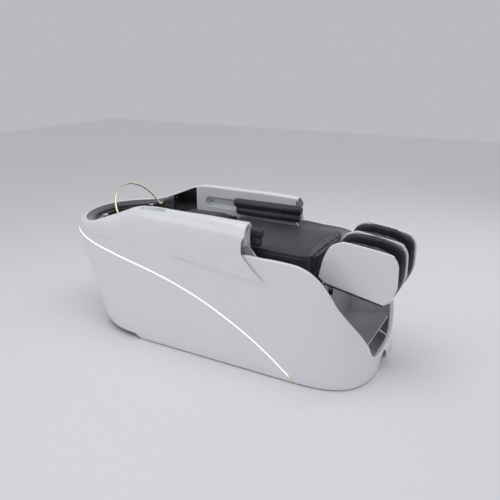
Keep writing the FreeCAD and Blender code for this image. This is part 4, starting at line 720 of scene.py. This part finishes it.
def wing_cover():
    """Left armrest cover, cut off along its swept foot end."""
    shares = [index / 150 for index in range(151)]
    columns = [wing_column(share) for share in shares]
    keep = [[p.x - wing_end_x(p.z) for p in column] for column in columns]
    for row in range(len(columns[0])):
        for index in range(1, len(columns)):
            before, after = keep[index - 1][row], keep[index][row]
            if before < 0 <= after:
                t = before / (before - after)
                a, b = columns[index - 1][row].copy(), columns[index][row].copy()
                end = a.lerp(b, t)
                for rest in range(index, len(columns)):
                    columns[rest][row] = end.copy()
                columns[index - 1][row] = a.lerp(end, 0.75)
                break
    last = max(i for i in range(1, len(columns))
               if any((a - b).length > 1e-7 for a, b in zip(columns[i], columns[i - 1])))
    columns = columns[:last + 1]
    for point in columns[0]:
        point.y = SEAM_HALF
    piece = grid_piece("left_wing", columns, WHITE)
    mesh = bmesh.new()
    mesh.from_mesh(piece.data)
    bmesh.ops.remove_doubles(mesh, verts=mesh.verts, dist=1e-6)
    bmesh.ops.dissolve_degenerate(mesh, edges=mesh.edges, dist=1e-6)
    mesh.to_mesh(piece.data)
    mesh.free()
    orient(piece, Vector((-0.3, 0.2, 0.45)))
    return thicken(piece, WING_SKIN, 0.0016, 3)


left_shell = side_shell()
stand_for(left_shell, "left_side_shell", "base")
right_shell = mirror_copy(left_shell, "right_shell")
stand_for(right_shell, "right_side_shell", "base")
left_wing = wing_cover()
stand_for(left_wing, "left_armrest_cover", "base")
right_wing = mirror_copy(left_wing, "right_wing")
stand_for(right_wing, "right_armrest_cover", "base")


# ------------------------------------------------------------------ light strips

def light_strip():
    """Lit bead along the light line, half round, seated on the shell."""
    width, proud = 0.0034, 0.0022
    columns = []
    shares = [index / 260 for index in range(261)]
    end_x = corner("light_end_caps", 0, False) + 0.002
    for share in shares:
        middle = on_line(share, LIGHT_LINE, 0.3)
        centre = body_point(share, middle)
        if share > HEAD_TURN and centre.x > end_x:
            break
        push = inward(share, middle)
        column = []
        for index in range(9):
            angle = math.pi * index / 8
            height = middle + width * math.cos(angle)
            base = body_point(share, height)
            column.append(base + push * (relief(base) - proud * math.sin(angle) + 0.0004))
        columns.append(column)
    for point in columns[0]:
        point.y = 0.0
    piece = grid_piece("left_light", columns, LIGHT)
    orient(piece, Vector((0, 0, 0.4)))
    return thicken(piece, 0.0012, 0)


left_light = light_strip()
stand_for(left_light, "left_light_strip", "base")
right_light = mirror_copy(left_light, "right_light")
stand_for(right_light, "right_light_strip", "base")


# ------------------------------------------------------------------ padded pieces

def cushion(node, name, body, material, voxel, cap, reach=None, shrink=0.003, pressure=4.0,
            grow=-0.03, frames=12):
    """Padded piece: the CAD block remeshed, puffed up as cloth, and held close to the block."""
    piece = bpy.data.objects.new(name, NODES[node].data.copy())
    scene.collection.objects.link(piece)
    modify(piece, "REMESH", mode="VOXEL", voxel_size=voxel)
    modify(piece, "SMOOTH", factor=0.5, iterations=4)
    modify(piece, "DISPLACE", strength=-shrink, mid_level=0.0)
    apply_modifiers(piece)
    rest = [vertex.co.copy() for vertex in piece.data.vertices]
    cloth = piece.modifiers.new("Cloth", "CLOTH")
    cloth.settings.quality = 3
    cloth.settings.mass = 0.2
    cloth.settings.tension_stiffness = 18
    cloth.settings.compression_stiffness = 18
    cloth.settings.bending_stiffness = 0.4
    cloth.settings.use_pressure = True
    cloth.settings.uniform_pressure_force = pressure
    cloth.settings.shrink_min = grow
    cloth.settings.effector_weights.gravity = 0
    cloth.point_cache.frame_start = 1
    cloth.point_cache.frame_end = frames
    for frame_number in range(1, frames + 1):
        scene.frame_set(frame_number)
    apply_modifiers(piece)
    scene.frame_set(1)
    for vertex, start in zip(piece.data.vertices, rest):
        move = vertex.co - start
        limit = cap if reach is None else cap * reach(start)
        if move.length > limit:
            move *= limit / max(move.length, 1e-9)
        vertex.co = start + move
    modify(piece, "SMOOTH", factor=0.35, iterations=1)
    modify(piece, "SUBSURF", levels=1, render_levels=1)
    apply_modifiers(piece)
    piece.data.materials.clear()
    piece.data.materials.append(material)
    smooth_all(piece)
    stand_for(piece, node, body)
    return piece


def crease_in(piece, test, depth, width):
    """Press a seam line into a padded piece: test gives the signed distance from the line."""
    normals = [vertex.normal.copy() for vertex in piece.data.vertices]
    for vertex, normal in zip(piece.data.vertices, normals):
        vertex.co -= normal * depth * math.exp(-(test(vertex.co) / width) ** 2)


def ripple(piece, test, depth, length, seed):
    """Short puckers: test gives how strong they are at a point and how far along them it is."""
    source = random.Random(seed)
    phases = [source.uniform(0, math.tau) for step in range(4)]
    normals = [vertex.normal.copy() for vertex in piece.data.vertices]
    for vertex, normal in zip(piece.data.vertices, normals):
        fade, along = test(vertex.co)
        wave = sum(math.sin(along * math.tau / (length * scale) + phase)
                   for scale, phase in zip((1.0, 1.7, 0.63, 2.9), phases)) / 4
        vertex.co += normal * depth * fade * wave


SEAT_LOW, SEAT_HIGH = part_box("seat_cushion")
BACK_LOW, BACK_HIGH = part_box("back_cushion")
SEAM_DROP = 0.020
ARM_ROLL_HEIGHTS = (0.6925, 0.6445)
ARM_ROLL_RADIUS = 0.0262
MIDDLE_PLATE_HALF, OUTER_PLATE_FACE = 0.006, 0.2036


def seat_reach(point):
    """The seat swells most in the middle of its top, and least under the arm pads."""
    low = ease(point.z, SEAT_LOW.z, SEAT_LOW.z + 0.03)
    side = 0.25 + 0.75 * ease(SEAT_HIGH.y - abs(point.y), 0.0, 0.12)
    return low * side


def seat_band(point):
    """Distance from the seam that runs round the cushion under its top edge."""
    return point.z - (SEAT_HIGH.z - SEAM_DROP)


def seat_pucker(point):
    """Puckers either side of the seat's seam, none on its top."""
    fade = math.exp(-abs(seat_band(point)) / 0.05) * (
        1 - ease(point.z, SEAT_HIGH.z - 0.02, SEAT_HIGH.z - 0.008))
    return fade, point.x + point.y * 1.1


def loop_at(piece, height, count=180):
    """Outline of a piece at a height, walked round its middle."""
    level = [v.co for v in piece.data.vertices if abs(v.co.z - height) < 0.006]
    centre = sum(level, Vector()) / len(level)
    turns = sorted((math.atan2(p.y - centre.y, p.x - centre.x), p) for p in level)
    outline = []
    for index in range(count):
        angle = -math.pi + math.tau * index / count
        near = min(turns, key=lambda item: abs(item[0] - angle))
        outline.append(Vector((near[1].x, near[1].y, height)))
    return outline


def seam_cord(name, outline, body, radius=0.0012, material=THREAD):
    """Stitched seam laid along an outline."""
    cord = tube(name, outline, radius, material, closed=True)
    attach(cord, body)
    return cord


seat = cushion("seat_cushion", "seat_pad", "base", LEATHER, 0.009, 0.009, seat_reach)
crease_in(seat, seat_band, 0.0022, 0.004)
ripple(seat, seat_pucker, 0.0016, 0.034, 5)
seam_cord("seat_seam", loop_at(seat, SEAT_HIGH.z - SEAM_DROP), "base")


def back_reach(point):
    """The back swells over its middle and stays flat at the hinge."""
    low = ease(point.z, BACK_LOW.z, BACK_LOW.z + 0.03)
    hinge = ease(BACK_HIGH.x - point.x, 0.004, 0.05)
    return low * (0.2 + 0.8 * hinge) * (0.3 + 0.7 * ease(BACK_HIGH.y - abs(point.y), 0.0, 0.1))


back = cushion("back_cushion", "back_pad", "backrest", LEATHER, 0.009, 0.010, back_reach)
crease_in(back, lambda p: p.z - (BACK_HIGH.z - SEAM_DROP), 0.002, 0.004)
seam_cord("back_seam", loop_at(back, BACK_HIGH.z - SEAM_DROP), "backrest")


def roll_ripple(point):
    """Gathers along the arm pads."""
    return 0.9, point.x + 0.35 * point.z + 0.12 * math.sin(point.x * 37)


for word in ("left", "right"):
    pad_low, pad_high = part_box(word + "_arm_pad")
    pad = cushion(word + "_arm_pad", word + "_arm_roll", word + "_pad", LEATHER,
                  0.006, 0.004, None, 0.002)
    ripple(pad, roll_ripple, 0.0013, 0.045, 11)
    middle = (pad_low.y + pad_high.y) / 2
    for order, height in enumerate(ARM_ROLL_HEIGHTS):
        seam_x = pad_high.x - 0.016 - 0.014 * order
        ring = [(seam_x, middle + ARM_ROLL_RADIUS * math.cos(a), height + ARM_ROLL_RADIUS * math.sin(a))
                for a in (math.tau * k / 28 for k in range(28))]
        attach(tube(f"{word}_roll_seam_{order}", ring, 0.0011, THREAD, closed=True), word + "_pad")


def calf_reach(point):
    """Calf channels swell over their tops and not against the plates."""
    share = abs(point.y)
    return 0.25 + 0.75 * ease(min(share - MIDDLE_PLATE_HALF, OUTER_PLATE_FACE - share), 0.0, 0.03)


for word in ("left", "right"):
    channel = cushion(word + "_calf_cushion", word + "_calf_pad", "calf_rest", LEATHER_SIDE, 0.007, 0.006,
                      calf_reach, 0.002)
    ripple(channel, lambda p: (0.8, p.y + 0.15 * p.x + 0.1 * p.z), 0.0008, 0.03, 7)
    ripple(channel, lambda p: (0.8, p.x + 0.6 * p.z), 0.0009, 0.028, 9)

neck = cushion("neck_rest", "neck_gel_pad", "base", GEL, 0.0045, 0.003, None, 0.0015)


# ------------------------------------------------------------------ calf rest plates

REST_OUTLINE = [(14, 9), (33, 102), (58, 160), (82, 184), (116, 197), (147, 200), (339, 172),
                (371, 150), (387, 121), (390, 93), (391, 28), (388, -1), (368, -59), (334, -85), (43, -17)]
REST_ORIGIN = (0.600, 0.500)
REST_MIDDLE = Vector((0.80, 0.56))
REST_LENGTH = 0.4


def rest_outline(inset=0.0):
    """Side outline of the calf rest, with its curved edge sampled finely."""
    drawn = [(REST_ORIGIN[0] + x * MM, REST_ORIGIN[1] + z * MM) for x, z in REST_OUTLINE]
    points = spline_through(drawn[:-1], 110) + [drawn[-1]]
    shrunk = []
    for x, z in points:
        away = Vector((x, z)) - REST_MIDDLE
        shrunk.append(REST_MIDDLE + away * (1 - inset / away.length))
    return shrunk


def rest_plate(name, node, y_back, y_front, thickness, round_over):
    """Moulded plate with a rounded rim, leaning in towards the foot end."""
    steps = 7
    rows = []
    for index in range(steps + 1):
        angle = math.pi / 2 * index / steps
        rows.append((round_over * (1 - math.sin(angle)), -thickness / 2 + round_over * (1 - math.cos(angle))))
    levels = rows + [(inset, -level) for inset, level in reversed(rows)]
    points, faces = [], []
    for inset, level in levels:
        for flat in rest_outline(inset):
            lean = (flat[0] - REST_ORIGIN[0]) / REST_LENGTH
            points.append((flat[0], y_back + (y_front - y_back) * lean + level, flat[1]))
    width = len(rest_outline())
    for r in range(len(levels) - 1):
        for c in range(width):
            d = (c + 1) % width
            faces.append((r * width + c, r * width + d, (r + 1) * width + d, (r + 1) * width + c))
    faces.append(tuple(range(width)))
    faces.append(tuple(reversed(range((len(levels) - 1) * width, len(levels) * width))))
    plate = add_mesh(name, points, faces, WHITE)
    fix = bmesh.new()
    fix.from_mesh(plate.data)
    bmesh.ops.recalc_face_normals(fix, faces=fix.faces)
    fix.to_mesh(plate.data)
    fix.free()
    smooth_all(plate, 50)
    stand_for(plate, node, "calf_rest")
    return plate


rest_plate("left_plate", "left_calf_panel", 0.2125, 0.1825, 0.015, 0.006)
rest_plate("right_plate", "right_calf_panel", -0.2125, -0.1825, 0.015, 0.006)
rest_plate("middle_plate", "middle_calf_panel", 0.0, 0.0, 0.012, 0.0055)


# ------------------------------------------------------------------ basin end

LEDGE = 0.588
ROSE_X, ROSE_Y = -0.862, -0.085


def crest_inside(share, inset):
    """Point inside the crest line, in plan, at a share of its run."""
    here, ahead = crest_point(share), crest_point(min(1.0, share + 0.004))
    behind = crest_point(max(0.0, share - 0.004))
    along = Vector((ahead.x - behind.x, ahead.y - behind.y, 0))
    along.normalize()
    return Vector((here.x + along.y * inset, here.y - along.x * inset, here.z))


def rim_band():
    """Speckled band inside the crest: it falls gently inwards, then drops to the ledge."""
    rows = []
    last = 0.385
    for index in range(90):
        share = last * index / 89
        wide = 0.041 * (1 - 0.75 * ease(share, 0.30, last))
        profile = [(0.0012, -0.0035), (0.003, -0.002), (0.008, -0.0025), (wide * 0.5, -0.0055),
                   (wide * 0.8, -0.011), (wide, -0.0145), (wide + 0.002, -0.020), (wide + 0.003, -0.030)]
        column = []
        for inset, fall in profile:
            point = crest_inside(share, inset)
            point.z = max(LEDGE + 0.0008, point.z + fall)
            column.append(point)
        foot = column[-1].copy()
        foot.z = LEDGE + 0.0006
        rows.append(column + [foot])
    for point in rows[0]:
        point.y = 0.0
    half = grid_piece("rim_band_left", rows, SPECKLE)
    orient(half, Vector((-0.7, 0.0, 0.3)))
    band = join("rim_band", [half, mirror_copy(half, "rim_band_right")])
    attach(band, "base")


rim_band()


def hoop(name, centre, radius, thickness, material):
    """Level ring of round section."""
    ring = [(centre[0] + radius * math.cos(a), centre[1] + radius * math.sin(a), centre[2])
            for a in (math.tau * k / 32 for k in range(32))]
    return tube(name, ring, thickness, material, closed=True)


rose = join("filler_rose", [hoop("rose_outer", (ROSE_X, ROSE_Y, 0.594), 0.015, 0.0035, CHROME),
                            hoop("rose_inner", (ROSE_X, ROSE_Y, 0.597), 0.008, 0.0022, CHROME)])
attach(rose, "base")


# ------------------------------------------------------------------ water ring nozzles

RING_RADIUS = 0.198
RING_LEAN = math.radians(33)
RING_PIVOT = Vector((-0.646, 0.0, 0.626))
RING_TUBE = 0.0048
NOZZLE_COUNT = 21
nozzles = []
for index in range(NOZZLE_COUNT):
    angle = math.radians(22 + 136 * index / (NOZZLE_COUNT - 1))
    out = Vector((-math.sin(RING_LEAN) * math.sin(angle), math.cos(angle),
                  math.cos(RING_LEAN) * math.sin(angle)))
    tip = RING_PIVOT + out * (RING_RADIUS - RING_TUBE)
    nozzles.append(tube(f"nozzle_{index}", [tip, tip - out * 0.002], 0.0013, BLACK_SATIN, smooth=False))
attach(join("ring_nozzles", nozzles), "ring")


# ------------------------------------------------------------------ control panel marks

def slab(name, low, high, material, bevel=0.0004):
    """Thin block between two corners, with its edges broken."""
    corners = [(x, y, z) for x in (low[0], high[0]) for y in (low[1], high[1]) for z in (low[2], high[2])]
    faces = [(0, 1, 3, 2), (4, 6, 7, 5), (0, 4, 5, 1), (2, 3, 7, 6), (0, 2, 6, 4), (1, 5, 7, 3)]
    piece = add_mesh(name, corners, faces, material)
    modify(piece, "BEVEL", width=bevel, segments=2)
    apply_modifiers(piece)
    smooth_all(piece, 40)
    return piece


MARK = plain_finish("key_mark", (0.16, 0.18, 0.21), 0.4)
KEY_MARKS = {
    "pump": [(-0.003, -0.0006, 0.003, 0.0006), (-0.0006, -0.003, 0.0006, 0.003)],
    "light": [(-0.003, -0.0006, 0.003, 0.0006)],
    "warmth": [(-0.003, -0.002, 0.003, -0.001), (-0.003, 0.001, 0.003, 0.002)],
    "massage": [(-0.002, -0.002, 0.002, 0.002)],
}
for key, marks in KEY_MARKS.items():
    low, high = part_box(key + "_button")
    middle = (low + high) / 2
    bars = [slab(f"{key}_bar_{order}", (middle.x + x0, middle.y + y0, high.z - 0.0002),
                 (middle.x + x1, middle.y + y1, high.z + 0.0002), MARK, 0.0001)
            for order, (x0, y0, x1, y1) in enumerate(marks)]
    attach(join(key + "_mark", bars), key + "_key")


# ------------------------------------------------------------------ camera, light, floor

CAMERA_LENS = 39.24
CAMERA_PLACE = (1.5, -2.538, 1.508)
CAMERA_FORWARD = (-0.4514, 0.8290, -0.3300)


def make_camera():
    """Camera at the three-quarter front view from the client's right, above the foot end."""
    data = bpy.data.cameras.new("view")
    data.sensor_width = 36.0
    data.lens = CAMERA_LENS
    camera = bpy.data.objects.new("view", data)
    scene.collection.objects.link(camera)
    camera.location = CAMERA_PLACE
    camera.rotation_euler = Vector(CAMERA_FORWARD).to_track_quat("-Z", "Y").to_euler()
    scene.camera = camera


def area_light(name, place, aim, size_x, size_y, power, colour=(1, 1, 1)):
    data = bpy.data.lights.new(name, "AREA")
    data.shape = "RECTANGLE"
    data.size = size_x
    data.size_y = size_y
    data.energy = power
    data.color = colour
    lamp = bpy.data.objects.new(name, data)
    scene.collection.objects.link(lamp)
    lamp.location = place
    lamp.rotation_euler = (Vector(aim) - Vector(place)).to_track_quat("-Z", "Y").to_euler()


def make_studio():
    scene.view_settings.view_transform = "Standard"
    world = bpy.data.worlds.new("studio")
    scene.world = world
    world.use_nodes = True
    world.node_tree.nodes["Background"].inputs["Color"].default_value = (0.93, 0.95, 1.0, 1.0)
    world.node_tree.nodes["Background"].inputs["Strength"].default_value = 0.52
    area_light("overhead", (0.2, -0.4, 3.2), (0, 0, 0.4), 3.0, 2.2, 26)
    area_light("key", (-1.8, -3.0, 2.6), (0, 0, 0.4), 2.4, 1.8, 12)
    area_light("rim", (1.8, 2.6, 2.4), (0.1, 0, 0.5), 2.2, 1.4, 12)
    floor = add_mesh("floor", [(-9, -9, 0), (9, -9, 0), (9, 9, 0), (-9, 9, 0)], [(0, 1, 2, 3)],
                     plain_finish("studio_floor", (0.90, 0.90, 0.905), 0.6, 0.0, 60.0, 0.02, (1, 1, 1), 0.01),
                     False)


make_camera()
make_studio()
